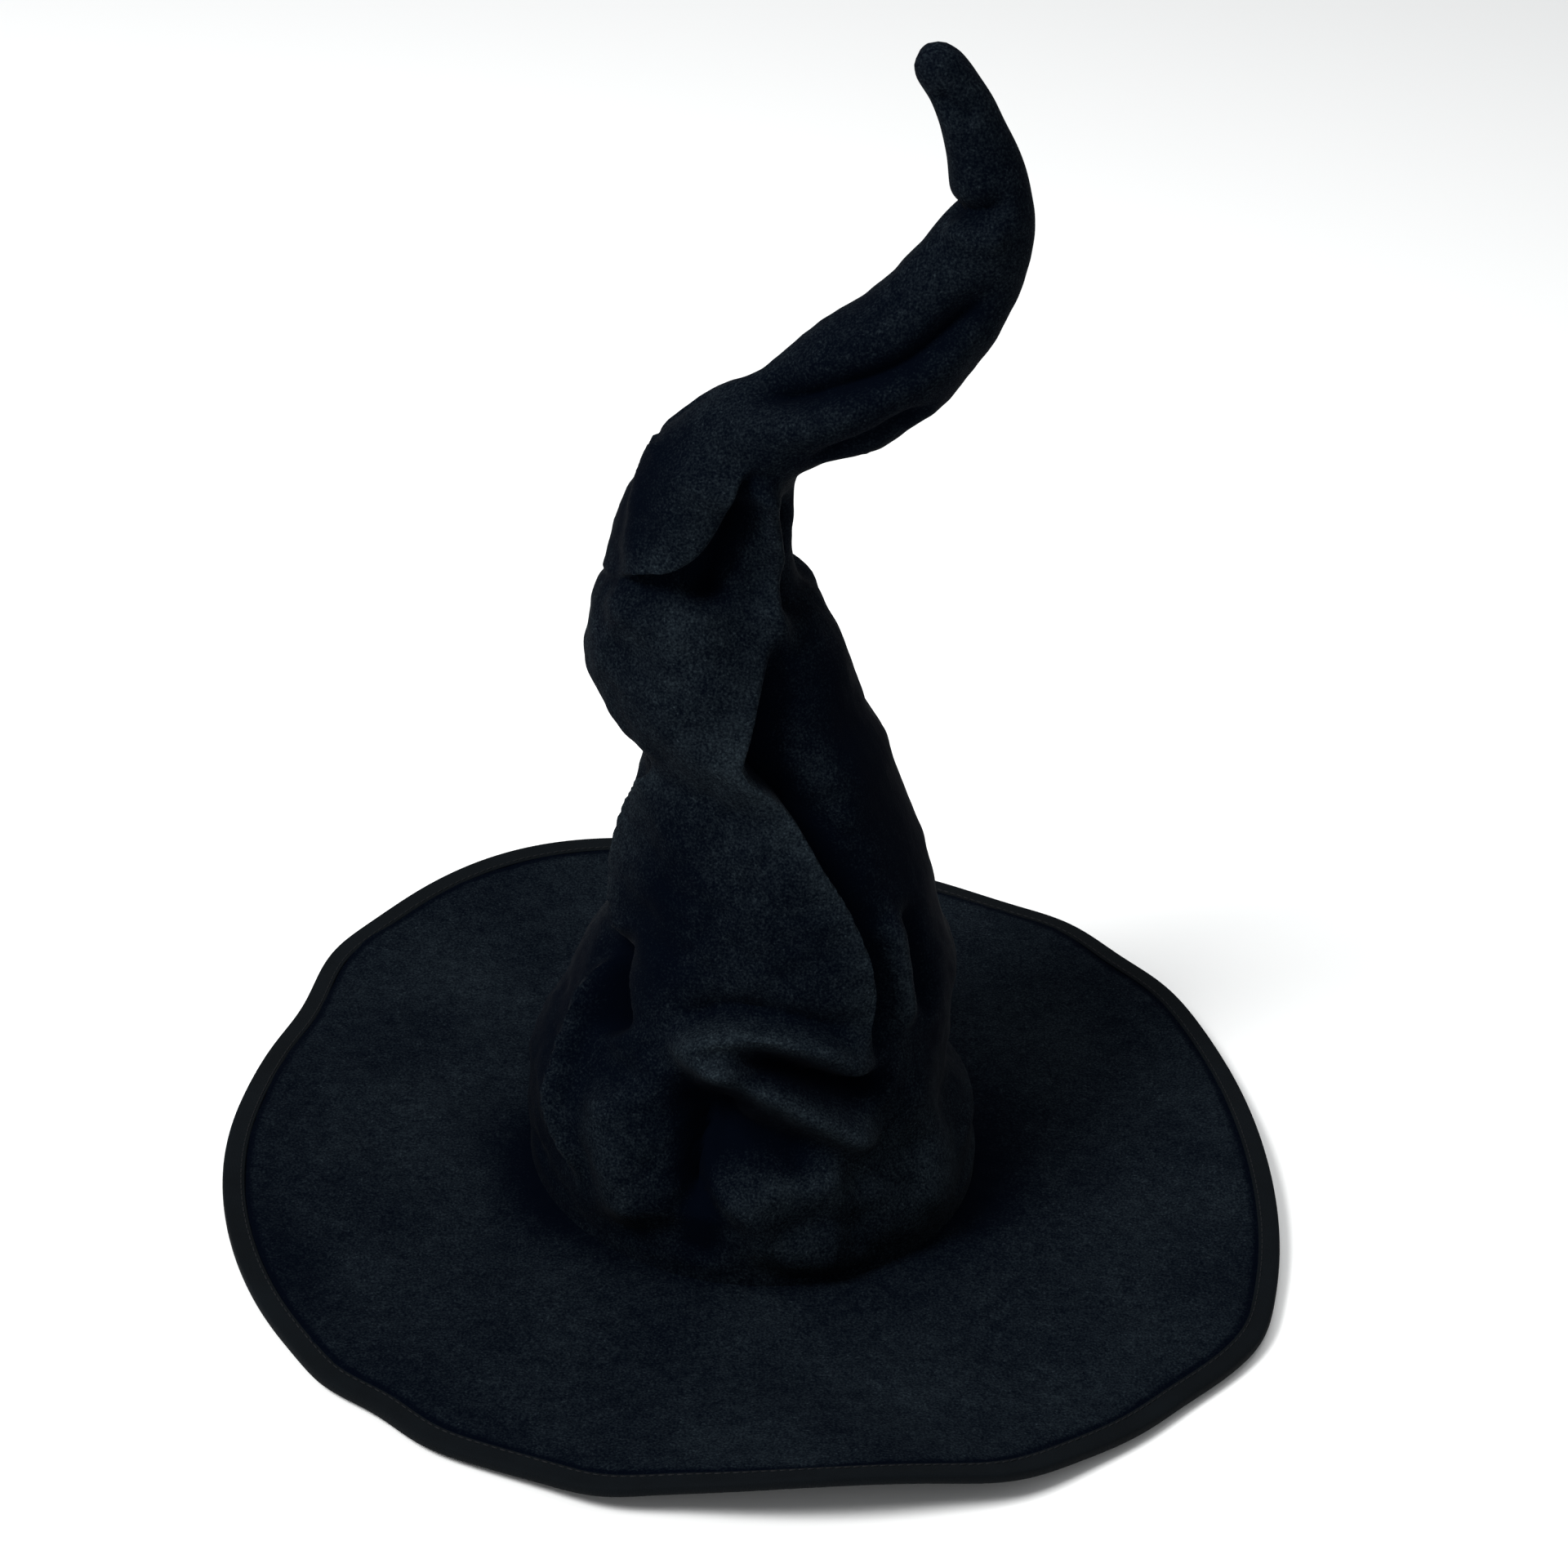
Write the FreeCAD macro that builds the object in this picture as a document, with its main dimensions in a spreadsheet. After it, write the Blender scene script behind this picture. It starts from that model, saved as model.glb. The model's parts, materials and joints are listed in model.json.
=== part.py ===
"""Crooked witch hat of black velour, built the way it is sewn.

A wired, waving brim of two cloth plies over a stiff interlining, bound at its edge, with a crown that
tapers, kinks at a neck and runs on as a stuffed tail whose tip hooks over. A soft wire runs up the back
of the crown and through the tail, so the wearer can bend the tail at the neck and the tip at its hook.

Millimetres, +Z up, +X to the wearer's left, -Y to the front. The origin is the centre of the head
opening on the plane that the brim rests on.
"""

import FreeCAD, Part
import math
import os

import Sketcher
from FreeCAD import Placement, Rotation, Vector

doc = FreeCAD.newDocument("WitchHat")
UP = Vector(0, 0, 1)
ACROSS = Vector(0, 1, 0)

# ---------------------------------------------------------------- driving dimensions
DIMENSIONS = (
    ("HeadRadius", 89.0, "inside of the sweatband, a 56 cm head"),
    ("BandHeight", 30.0, "width of the sweatband ribbon"),
    ("BandPly", 0.9, "thickness of the sweatband ribbon"),
    ("TapePly", 1.2, "thickness of the folded tape over the head seam"),
    ("TapeHeight", 9.5, "width of the tape over the head seam"),
    ("HoleRadius", 91.5, "hole in the brim plies"),
    ("FlatRadius", 126.0, "the brim lies flat out to here"),
    ("BrimRadius", 224.0, "nominal outer radius of the brim"),
    ("UnderPly", 0.8, "cloth under the brim"),
    ("CorePly", 2.4, "stiff interlining of the brim"),
    ("TopPly", 1.2, "velour on top of the brim"),
    ("PlyGap", 0.3, "room between two plies"),
    ("EdgeLift", 3.2, "height of the brim's edge where no wave lifts it"),
    ("BindWidth", 8.6, "width of the edge binding on each side"),
    ("BindPly", 0.8, "thickness of the edge binding"),
    ("EdgeWire", 0.6, "radius of the brim's edge wire"),
    ("WireInset", 2.4, "the edge wire's distance from the plies' edge"),
    ("JoinerRadius", 1.2, "outside of the crimped wire joiner"),
    ("JoinerBore", 0.9, "inside of the wire joiner"),
    ("JoinerLength", 12.0, "length of the wire joiner"),
    ("EdgeWireGap", 0.8, "gap between the two ends of the edge wire"),
    ("CoverPly", 1.5, "velour of the crown, tail and tip"),
    ("LiningPly", 0.8, "lining of the crown"),
    ("CrownWire", 1.0, "radius of the wire in the crown, tail and tip"),
    ("CasingPly", 0.8, "cloth of the wire casing"),
    ("PadGap", 0.6, "room between the stuffing and its cover"),
    ("NeckX", -37.0, "the neck bend, across"),
    ("NeckZ", 290.0, "the neck bend, up"),
    ("NeckBall", 26.5, "the tail's rounded lower end about the neck bend"),
    ("HookX", 60.5, "the hook bend, across"),
    ("HookZ", 425.0, "the hook bend, up"),
    ("HookBall", 14.6, "the tip's rounded lower end about the hook bend"),
    ("LoopRadius", 3.2, "wire loops at both ends of the crown wire"),
    ("WrapRadius", 2.6, "outside of the tape wrapped below the tip's loop"),
    ("WrapBore", 1.5, "inside of the tape wrap"),
    ("PatchWidth", 18.0, "cloth patch that holds the wire's foot"),
    ("PatchHeight", 18.0, "height of the wire's patch"),
    ("PatchPly", 0.9, "thickness of the wire's patch"),
)

sheet = doc.addObject("Spreadsheet::Sheet", "Dims")
for row, (alias, size, note) in enumerate(DIMENSIONS, start=1):
    sheet.set(f"A{row}", note)
    sheet.set(f"B{row}", str(size))
    sheet.setAlias(f"B{row}", alias)
doc.recompute()


def dim(alias):
    """A driving dimension, read from the sheet."""
    return float(sheet.get(alias))


NODES = {}


def keep(label, obj):
    """Names obj as the sub-part that is written to parts/label.step."""
    obj.Label = label
    NODES[label] = obj
    return obj


def shaped(label, shape):
    """A sub-part whose shape no primitive or sketch gives, such as cloth that waves."""
    obj = doc.addObject("Part::Feature", "Shape_" + label)
    obj.Shape = shape
    return keep(label, obj)


# ---------------------------------------------------------------- the waving brim
# Each wave is (direction in degrees, rise or reach in mm, half width in degrees).
EDGE_WAVES = ((280, 17, 21), (120, 11, 24), (38, 4, 13), (190, 5, 18), (4, 5, 20))
EDGE_REACH = ((226, 5, 24), (330, 8, 18), (128, 5, 20), (172, -9, 20), (8, -6, 20), (42, 3, 12))
EDGE_KINKS = (
    (227, 1.5, 4), (234, -2, 5), (240, 1.5, 5), (258, 3, 5), (298, 3.5, 7), (321, -3, 7),
    (334, 1.5, 5), (42, -3, 6), (53, 3.5, 6), (150, 3, 6), (162, -3, 7),
)
RING_POINTS = 100
WAVE_POWER = 1.7
INNER_SHARES = (0.0, 0.3, 0.55, 0.78, 1.0)


def bumps(table, degrees):
    """The sum of the table's smooth bumps in one direction."""
    total = 0.0
    for centre, height, width in table:
        away = (degrees - centre + 180.0) % 360.0 - 180.0
        total += height * math.exp(-((away / width) ** 2))
    return total


def edge_radius(degrees):
    return dim("BrimRadius") + bumps(EDGE_REACH + EDGE_KINKS, degrees)


def edge_lift(degrees):
    return dim("EdgeLift") + bumps(EDGE_WAVES, degrees)


def brim_point(degrees, radius, above=0.0):
    """A point on the underside of the brim, moved up by above."""
    flat, edge = dim("FlatRadius"), edge_radius(degrees)
    share = max(0.0, (radius - flat) / (edge - flat))
    z = edge_lift(degrees) * share**WAVE_POWER
    turn = math.radians(degrees)
    return Vector(radius * math.cos(turn), radius * math.sin(turn), z + above)


def ring(radius_at, above):
    """A closed ring on the brim's wave, its radius given for each direction."""
    turns = [360.0 * i / RING_POINTS for i in range(RING_POINTS)]
    points = [brim_point(t, radius_at(t), above) for t in turns]
    curve = Part.BSplineCurve()
    steps = [float(i) for i in range(RING_POINTS + 1)]
    curve.interpolate(Points=points, PeriodicFlag=True, Parameters=steps)
    return Part.Wire(curve.toShape())


def hole(degrees):
    return dim("HoleRadius")


def share_of(share):
    """A ring at a share of the way from the flat part to the inner side of the edge binding."""
    flat = dim("FlatRadius")
    return lambda t: flat + share * (edge_radius(t) - dim("BindWidth") - flat)


def inside_edge(inset):
    """A ring that stays inset inside the plies' edge; a negative inset lies outside it."""
    return lambda t: edge_radius(t) - inset


def is_flat(radius_at):
    """Whether a ring stays inside the flat part of the brim."""
    return all(radius_at(t) <= dim("FlatRadius") + 1e-9 for t in range(0, 360, 5))


def ring_solid(profile):
    """A solid round the brim whose section has the profile's corners (ring, height above the wave)."""
    rings = [(ring(radius_at, above), above, is_flat(radius_at)) for radius_at, above in profile]
    faces = []
    for (here, low, here_flat), (there, high, there_flat) in zip(rings, rings[1:] + rings[:1]):
        if here_flat and there_flat and low == high:
            small, large = sorted((here, there), key=lambda wire: wire.Length)
            faces.extend(Part.Face(large).cut(Part.Face(small)).Faces)
        else:
            faces.extend(Part.makeLoft([here, there], False, True).Faces)
    hull = Part.Compound(faces)
    hull.sewShape(0.001)
    solid = Part.Solid(hull.Shells[0])
    if solid.Volume < 0.0:
        solid.reverse()
    return solid


def ply(above, thick, inset):
    """One ply of the brim, flat about the head opening and waving towards its edge."""
    rings = [hole] + [share_of(s) for s in INNER_SHARES] + [inside_edge(inset)]
    low = [(r, above) for r in rings]
    high = [(r, above + thick) for r in reversed(rings)]
    return ring_solid(low + high)


CORE_BASE = dim("UnderPly") + dim("PlyGap")
TOP_BASE = CORE_BASE + dim("CorePly") + dim("PlyGap")
STACK = TOP_BASE + dim("TopPly")

shaped("brim_under_cover", ply(0.0, dim("UnderPly"), 0.0))
shaped("brim_interlining", ply(CORE_BASE, dim("CorePly"), dim("WireInset") + 2.4))
shaped("brim_top_cover", ply(TOP_BASE, dim("TopPly"), 0.0))


def edge_binding():
    """Bias tape folded round the edge, its section a C about the plies."""
    bind, gap = dim("BindPly"), dim("PlyGap")
    inner = share_of(1.0)
    wrap, room = inside_edge(-(gap + bind)), inside_edge(-gap)
    outside = [(inner, -gap - bind), (wrap, -gap - bind), (wrap, STACK + gap + bind), (inner, STACK + gap + bind)]
    inside = [(inner, STACK + gap), (room, STACK + gap), (room, -gap), (inner, -gap)]
    return ring_solid(outside + inside)


shaped("brim_edge_binding", edge_binding())


# ---------------------------------------------------------------- the brim's edge wire
BACK = 90.0
WIRE_PLANE = CORE_BASE + dim("CorePly") / 2.0


def edge_wire():
    """A ring of wire inside the edge, eight-sided, its two ends meeting at the back."""
    corners = []
    for i in range(8):
        turn = math.radians(22.5 + 45.0 * i)
        across, up = dim("EdgeWire") * math.cos(turn), dim("EdgeWire") * math.sin(turn)
        corners.append((inside_edge(dim("WireInset") - across), WIRE_PLANE + up))
    gap = dim("EdgeWireGap")
    slot = Part.makeBox(gap, 12.0, 40.0, Vector(-gap / 2.0, edge_radius(BACK) - 8.0, -10.0))
    return ring_solid(corners).cut(slot)


shaped("brim_edge_wire", edge_wire())


def wire_joiner():
    """The metal sleeve over the two ends of the edge wire, as two bound cylinders."""
    outside = doc.addObject("Part::Cylinder", "JoinerOutside")
    inside = doc.addObject("Part::Cylinder", "JoinerBoreCylinder")
    outside.setExpression("Radius", "Dims.JoinerRadius")
    inside.setExpression("Radius", "Dims.JoinerBore")
    for bar in (outside, inside):
        bar.setExpression("Height", "Dims.JoinerLength")
    sleeve = doc.addObject("Part::Cut", "JoinerSleeve")
    sleeve.Base, sleeve.Tool = outside, inside
    reach = edge_radius(BACK) - dim("WireInset")
    step = math.degrees(dim("JoinerLength") / 2.0 / reach)
    here = brim_point(BACK - step, edge_radius(BACK - step) - dim("WireInset"), WIRE_PLANE)
    there = brim_point(BACK + step, edge_radius(BACK + step) - dim("WireInset"), WIRE_PLANE)
    sleeve.Placement = Placement(here, Rotation(UP, there - here))
    return keep("brim_wire_joiner", sleeve)


wire_joiner()


def tube(points, radius):
    """A round bar through the points, straight between them, its joints mitred."""
    turns = headings(points)
    sections = []
    for point, turn in zip(points, turns):
        sections.append(Part.Wire(Part.Circle(point, turn, radius).toShape()))
    return Part.makeLoft(sections, True, True)


def headings(centres):
    """The direction of the line through the centres, at each of them."""
    found = []
    for i in range(len(centres)):
        ahead = centres[min(i + 1, len(centres) - 1)]
        behind = centres[max(i - 1, 0)]
        found.append((ahead - behind).normalize())
    return found


# ---------------------------------------------------------------- crown, tail and tip
# (height, across, half width, half depth, towards the back)
CROWN_STATIONS = (
    (STACK + 0.2, 0, 93.2, 93.2, 0),
    (20, -0.5, 95.5, 95, 0),
    (33, -1, 95, 94.5, 0),
    (50, -7, 88, 87, 0),
    (74, -4, 82, 81, 1),
    (101, 1, 76, 75, 2),
    (130, 3, 67, 66, 3),
    (153, 0, 61.5, 60, 4),
    (176, -2.5, 55, 54, 5),
    (199, -6, 48.5, 47, 5),
    (220, -18, 51.5, 43, 4),
    (241, -27, 50.5, 39, 3),
    (256, -31, 45, 35, 1.5),
    (264, -35, 35, 29, 0),
    (268, -36, 28, 24, 0),
)
# (across, height, half width in the plane of the bend, half depth, towards the back)
TAIL_STATIONS = (
    (-37.5, 291, 26, 26, 0),
    (-42, 306, 25, 24, -2),
    (-31, 326, 24.5, 24, -4),
    (-14, 341, 25, 24, -5),
    (6, 352, 26, 24, -4),
    (24, 366, 26.5, 23, -2),
    (40, 382, 23.7, 21, 0),
    (52, 400, 19.5, 18.5, 0),
    (57.5, 409, 15.2, 15, 0),
)
TIP_STATIONS = (
    (59.6, 439, 13.6, 13, 0),
    (56.5, 449, 12.4, 12, 0),
    (53, 458, 11.3, 11, 0),
    (49, 466, 10.4, 10, 0),
    (44, 473.5, 9.8, 9.4, 0),
    (38, 481, 8.4, 8.2, 0),
    (34.5, 486.5, 4.5, 4.5, 0),
)


def ellipse(centre, along, half_width, half_depth):
    """A closed ellipse across the line along, its depth towards the back."""
    side = ACROSS.cross(along).normalize()
    curve = Part.Ellipse()
    if half_width > half_depth + 1e-6:
        curve = Part.Ellipse(centre + side * half_width, centre + ACROSS * half_depth, centre)
    elif half_depth > half_width + 1e-6:
        curve = Part.Ellipse(centre + ACROSS * half_depth, centre + side * half_width, centre)
    else:
        curve = Part.Circle(centre, along, half_width)
    return Part.Wire(curve.toShape())


def sleeve_loft(stations, inset, stretch=0.0):
    """A solid through the stations' ellipses, each made smaller by inset; its ends move out by stretch."""
    centres = [Vector(x, y, z) for x, z, _, _, y in stations]
    turns = headings(centres)
    sections = []
    for i, (_, _, width, depth, _) in enumerate(stations):
        centre = centres[i]
        if i == 0:
            centre = centre - turns[i] * stretch
        if i == len(stations) - 1:
            centre = centre + turns[i] * stretch
        sections.append(ellipse(centre, turns[i], width - inset, depth - inset))
    return Part.makeLoft(sections, True, True)


def crown_loft(inset, stretch=0.0, first=0, last=len(CROWN_STATIONS), deeper=0.0, forward=0.0):
    """A solid through the crown's level ellipses, made smaller by inset all round and by deeper in depth."""
    sections = []
    for i in range(first, last):
        z, x, width, depth, y = CROWN_STATIONS[i]
        move = -stretch if i == first else stretch if i == last - 1 else 0.0
        centre = Vector(x, y - forward, z + move)
        level = (width - inset, depth - inset - deeper)
        sections.append(level_ellipse(centre, *level))
    return Part.makeLoft(sections, True, True)


def level_ellipse(centre, half_width, half_depth):
    """A closed level ellipse whose width runs along X."""
    return ellipse(centre, UP, half_width, half_depth)


cover_ply = dim("CoverPly")
BASE_TOP = 3
base_outside, upper_outside = crown_loft(0.0, last=BASE_TOP + 1), crown_loft(0.0, first=BASE_TOP)
shaped("crown_base_cover", base_outside.cut(crown_loft(cover_ply, 0.5, last=BASE_TOP + 1)))
shaped("crown_cover", upper_outside.cut(crown_loft(cover_ply, 0.5, first=BASE_TOP)))

NECK = Vector(dim("NeckX"), 0, dim("NeckZ"))
HOOK = Vector(dim("HookX"), 0, dim("HookZ"))


def ball(centre, radius):
    return Part.makeSphere(radius, centre)


def mouth(centre, along, reach, half_angle):
    """A cone that opens from centre along a direction, to cut a mouth in a rounded end."""
    wide = reach * math.tan(math.radians(half_angle))
    return Part.makeCone(0.0, wide, reach, centre, along)


NECK_MOUTH = 40.0
HOOK_MOUTH = 62.0
HOOK_CLEAR = 3.0
TAIL_END = (HOOK - Vector(51, 0, 397)).normalize()


def tail_solid(inset):
    """The tail's outside, or with an inset the room inside it, with its rounded lower end."""
    body = sleeve_loft(TAIL_STATIONS, inset, 0.5 if inset else 0.0)
    return body.fuse(ball(NECK, dim("NeckBall") - inset)).removeSplitter()


def tip_solid(inset):
    """The tip's outside, or with an inset the room inside it, with its rounded lower end."""
    body = sleeve_loft(((HOOK.x, HOOK.z, 13.9, 13.4, 0),) + TIP_STATIONS, inset)
    return body.fuse(ball(HOOK, dim("HookBall") - inset)).removeSplitter()


hook_room = ball(HOOK, dim("HookBall") + HOOK_CLEAR)
neck_mouth = mouth(NECK, UP * -1, 60.0, NECK_MOUTH)
hook_mouth = mouth(HOOK, TAIL_END * -1, 40.0, HOOK_MOUTH)

tail_shell = tail_solid(0.0).cut(tail_solid(cover_ply)).cut(neck_mouth).cut(hook_room)
tip_shell = tip_solid(0.0).cut(tip_solid(cover_ply)).cut(hook_mouth)
shaped("tail_cover", max(tail_shell.Solids, key=lambda s: s.Volume))
shaped("tip_cover", max(tip_shell.Solids, key=lambda s: s.Volume))

# ---------------------------------------------------------------- lining
# (height, across, half width, half depth, towards the back)
LINING_STATIONS = (
    (11, 0, 91.2, 91.2, 0),
    (31, 0, 91.2, 91.2, 0),
    (50, -6, 84, 80, -4),
    (75, -3, 78, 73, -3),
    (101, 1, 72, 67, -2),
    (130, 2, 62.5, 58, -1),
    (153, 0, 57, 51.5, 0),
    (176, -3, 50, 45, 0),
    (193, -6, 40, 34, 0),
    (201, -7, 24, 18, 0),
)


def lining_loft(inset, drop):
    sections = []
    for i, (z, x, width, depth, y) in enumerate(LINING_STATIONS):
        low = drop if i == 0 else 0.0
        top = inset if i == len(LINING_STATIONS) - 1 else 0.0
        centre = Vector(x, y, z - low - top)
        sections.append(level_ellipse(centre, width - inset, depth - inset))
    return Part.makeLoft(sections, True, True)


shaped("crown_lining", lining_loft(0.0, 0.0).cut(lining_loft(dim("LiningPly"), 0.5)))

# ---------------------------------------------------------------- the crown's wire
wire = dim("CrownWire")
casing_outside = wire + 0.4 + dim("CasingPly")
# the wire lies against the inside of the cover at the back, then crosses to the neck
WIRE_ROUTE = (
    Vector(-5, 80.6, 60),
    Vector(-3, 76.6, 76),
    Vector(0, 71.5, 101),
    Vector(2, 63.3, 130),
    Vector(0, 58.3, 153),
    Vector(-4, 52.6, 176),
    Vector(-9, 44, 203),
    Vector(-21, 32, 224),
    Vector(-33, 12, 248),
    Vector(-36.8, 1.0, 268),
    NECK - UP * 1.0,
)
TAIL_ROUTE = (
    NECK + UP * 1.0,
    Vector(-40, -2, 306),
    Vector(-30, -4, 326),
    Vector(-14, -5, 341),
    Vector(6, -4, 352),
    Vector(24, -2, 366),
    Vector(40, 0, 382),
    Vector(52, 0, 400),
    HOOK - TAIL_END * 1.0,
)
TIP_ROUTE = (
    HOOK + Vector(-0.1, 0, 1.0),
    Vector(59.6, 0, 439),
    Vector(56.5, 0, 449),
    Vector(53, 0, 458),
    Vector(49, 0, 466),
    Vector(45.4, 0, 471.6),
)


def loop_at(point, along):
    """A closed wire loop in the plane of the bend, just past the end of a wire."""
    centre = point + along * (dim("LoopRadius") - 0.6)
    return Part.makeTorus(dim("LoopRadius"), wire, centre, ACROSS)


def end_heading(route, last):
    a, b = (route[-2], route[-1]) if last else (route[1], route[0])
    return (b - a).normalize()


foot_way = end_heading(WIRE_ROUTE, False)
tip_way = end_heading(TIP_ROUTE, True)
crown_wire = tube(list(WIRE_ROUTE), wire).fuse(loop_at(WIRE_ROUTE[0], foot_way))
tip_wire = tube(list(TIP_ROUTE), wire).fuse(loop_at(TIP_ROUTE[-1], tip_way))
shaped("crown_wire", crown_wire)
shaped("tail_wire", tube(list(TAIL_ROUTE), wire))
shaped("tip_wire", tip_wire)

CASED = list(WIRE_ROUTE[1:8])
casing = tube(CASED, casing_outside).cut(tube(list(WIRE_ROUTE), wire + 0.4))
shaped("wire_casing", max(casing.Solids, key=lambda s: s.Volume))


def tape_wrap():
    """Tape wound round the wire below the tip's loop."""
    low, middle, high = TIP_ROUTE[-3], TIP_ROUTE[-2], TIP_ROUTE[-1]
    spots = [low + (middle - low) * 0.35, middle, middle + (high - middle) * 0.55]
    return tube(spots, dim("WrapRadius")).cut(tube([low, middle, high], dim("WrapBore")))


shaped("tip_wire_wrap", tape_wrap())


def wire_patch():
    """The cloth patch that is sewn over the wire's foot, between the lining and the cover."""
    body = doc.addObject("PartDesign::Body", "PatchBody")
    sketch = body.newObject("Sketcher::SketchObject", "PatchOutline")
    plane = [f for f in body.Origin.OriginFeatures if f.Role == "XZ_Plane"][0]
    sketch.AttachmentSupport = [(plane, "")]
    sketch.MapMode = "FlatFace"
    half, tall = dim("PatchWidth") / 2.0, dim("PatchHeight")
    corners = [Vector(-half, 0, 0), Vector(half, 0, 0), Vector(half, tall, 0), Vector(-half, tall, 0)]
    for i in range(4):
        sketch.addGeometry(Part.LineSegment(corners[i], corners[(i + 1) % 4]))
    for i in range(4):
        sketch.addConstraint(Sketcher.Constraint("Coincident", i, 2, (i + 1) % 4, 1))
    for i in (0, 2):
        sketch.addConstraint(Sketcher.Constraint("Horizontal", i))
    for i in (1, 3):
        sketch.addConstraint(Sketcher.Constraint("Vertical", i))
    sketch.addConstraint(Sketcher.Constraint("Symmetric", 0, 1, 0, 2, -1, 1))
    for line, name, alias in ((0, "Width", "PatchWidth"), (1, "Tall", "PatchHeight")):
        number = sketch.addConstraint(Sketcher.Constraint("Distance", line, dim(alias)))
        sketch.renameConstraint(number, name)
        sketch.setExpression(f"Constraints.{name}", f"Dims.{alias}")
    pad = body.newObject("PartDesign::Pad", "PatchPad")
    pad.Profile = sketch
    pad.setExpression("Length", "Dims.PatchPly")
    doc.recompute()
    body.Placement = Placement(Vector(-5, 79.2, 50), Rotation(Vector(1, 0, 0), 7.6))
    return keep("wire_foot_patch", body)


wire_patch()

# ---------------------------------------------------------------- stuffing
pad_inset = cover_ply + dim("PadGap")
tail_fill = tail_solid(pad_inset)
tail_fill = tail_fill.cut(tube(list(TAIL_ROUTE), wire + 0.5))
tail_fill = tail_fill.cut(ball(HOOK, dim("HookBall") + HOOK_CLEAR + 1.0))
tail_fill = tail_fill.cut(ball(NECK, 6.0)).cut(mouth(NECK, UP * -1, 60.0, 70.0))
shaped("tail_stuffing", max(tail_fill.Solids, key=lambda s: s.Volume))

tip_fill = sleeve_loft(((HOOK.x, HOOK.z, 13.9, 13.4, 0),) + TIP_STATIONS, pad_inset)
tip_fill = tip_fill.cut(ball(HOOK, 7.0))
tip_fill = tip_fill.cut(tube(list(TIP_ROUTE), dim("WrapRadius") + 0.8))
tip_fill = tip_fill.cut(ball(TIP_ROUTE[-1] + tip_way * dim("LoopRadius"), dim("LoopRadius") + wire + 0.6))
shaped("tip_stuffing", max(tip_fill.Solids, key=lambda s: s.Volume))


# ---------------------------------------------------------------- sweatband and seam tape
def ring_body(label, inner, outer, height, base):
    """A flat ribbon ring as a body: a sketch of two circles, padded up. The sizes are expressions."""
    body = doc.addObject("PartDesign::Body", label + "_body")
    sketch = body.newObject("Sketcher::SketchObject", label + "_rings")
    plane = [f for f in body.Origin.OriginFeatures if f.Role == "XY_Plane"][0]
    sketch.AttachmentSupport = [(plane, "")]
    sketch.MapMode = "FlatFace"
    for name, expression in (("Inner", inner), ("Outer", outer)):
        guess = dim("HeadRadius") + (5.0 if name == "Outer" else 0.0)
        circle = sketch.addGeometry(Part.Circle(Vector(), UP, guess))
        sketch.addConstraint(Sketcher.Constraint("Coincident", circle, 3, -1, 1))
        number = sketch.addConstraint(Sketcher.Constraint("Radius", circle, guess))
        sketch.renameConstraint(number, name)
        sketch.setExpression(f"Constraints.{name}", expression)
    pad = body.newObject("PartDesign::Pad", label + "_pad")
    pad.Profile = sketch
    pad.setExpression("Length", height)
    body.setExpression("Placement.Base.z", base)
    return keep(label, body)


ring_body("sweatband", "Dims.HeadRadius", "Dims.HeadRadius + Dims.BandPly", "Dims.BandHeight", "0 * Dims.PlyGap")
ring_body(
    "head_seam_tape",
    "Dims.HeadRadius + Dims.BandPly + 0.15",
    "Dims.HeadRadius + Dims.BandPly + 0.15 + Dims.TapePly",
    "Dims.TapeHeight",
    "2 * Dims.PlyGap",
)

# ---------------------------------------------------------------- check and write
doc.recompute()
for obj in doc.Objects:
    if "Invalid" in obj.State or "Error" in obj.State:
        raise RuntimeError(f"{obj.Name} failed: {obj.State}")
os.makedirs("parts", exist_ok=True)
for label, obj in NODES.items():
    shape = obj.Shape
    if shape.isNull() or not shape.isValid() or not shape.Solids:
        raise RuntimeError(f"{label} has no valid solid")
for label, obj in NODES.items():
    obj.Shape.exportStep(os.path.join("parts", label + ".step"))
    print(label, len(obj.Shape.Solids), "solid", round(obj.Shape.Volume / 1000.0, 2), "cm3")
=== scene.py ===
"""Crooked witch hat of black velour: the visible cloth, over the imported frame.

Lengths in the tables are millimetres in the frame's axes: +Z up, -Y to the front, +X to the side that
the tail leans to. Directions round the crown are degrees from +X, so 270 is the front and 90 the back.
"""

import json
import math

import bpy
import numpy as np
from mathutils import Matrix, Vector

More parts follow.
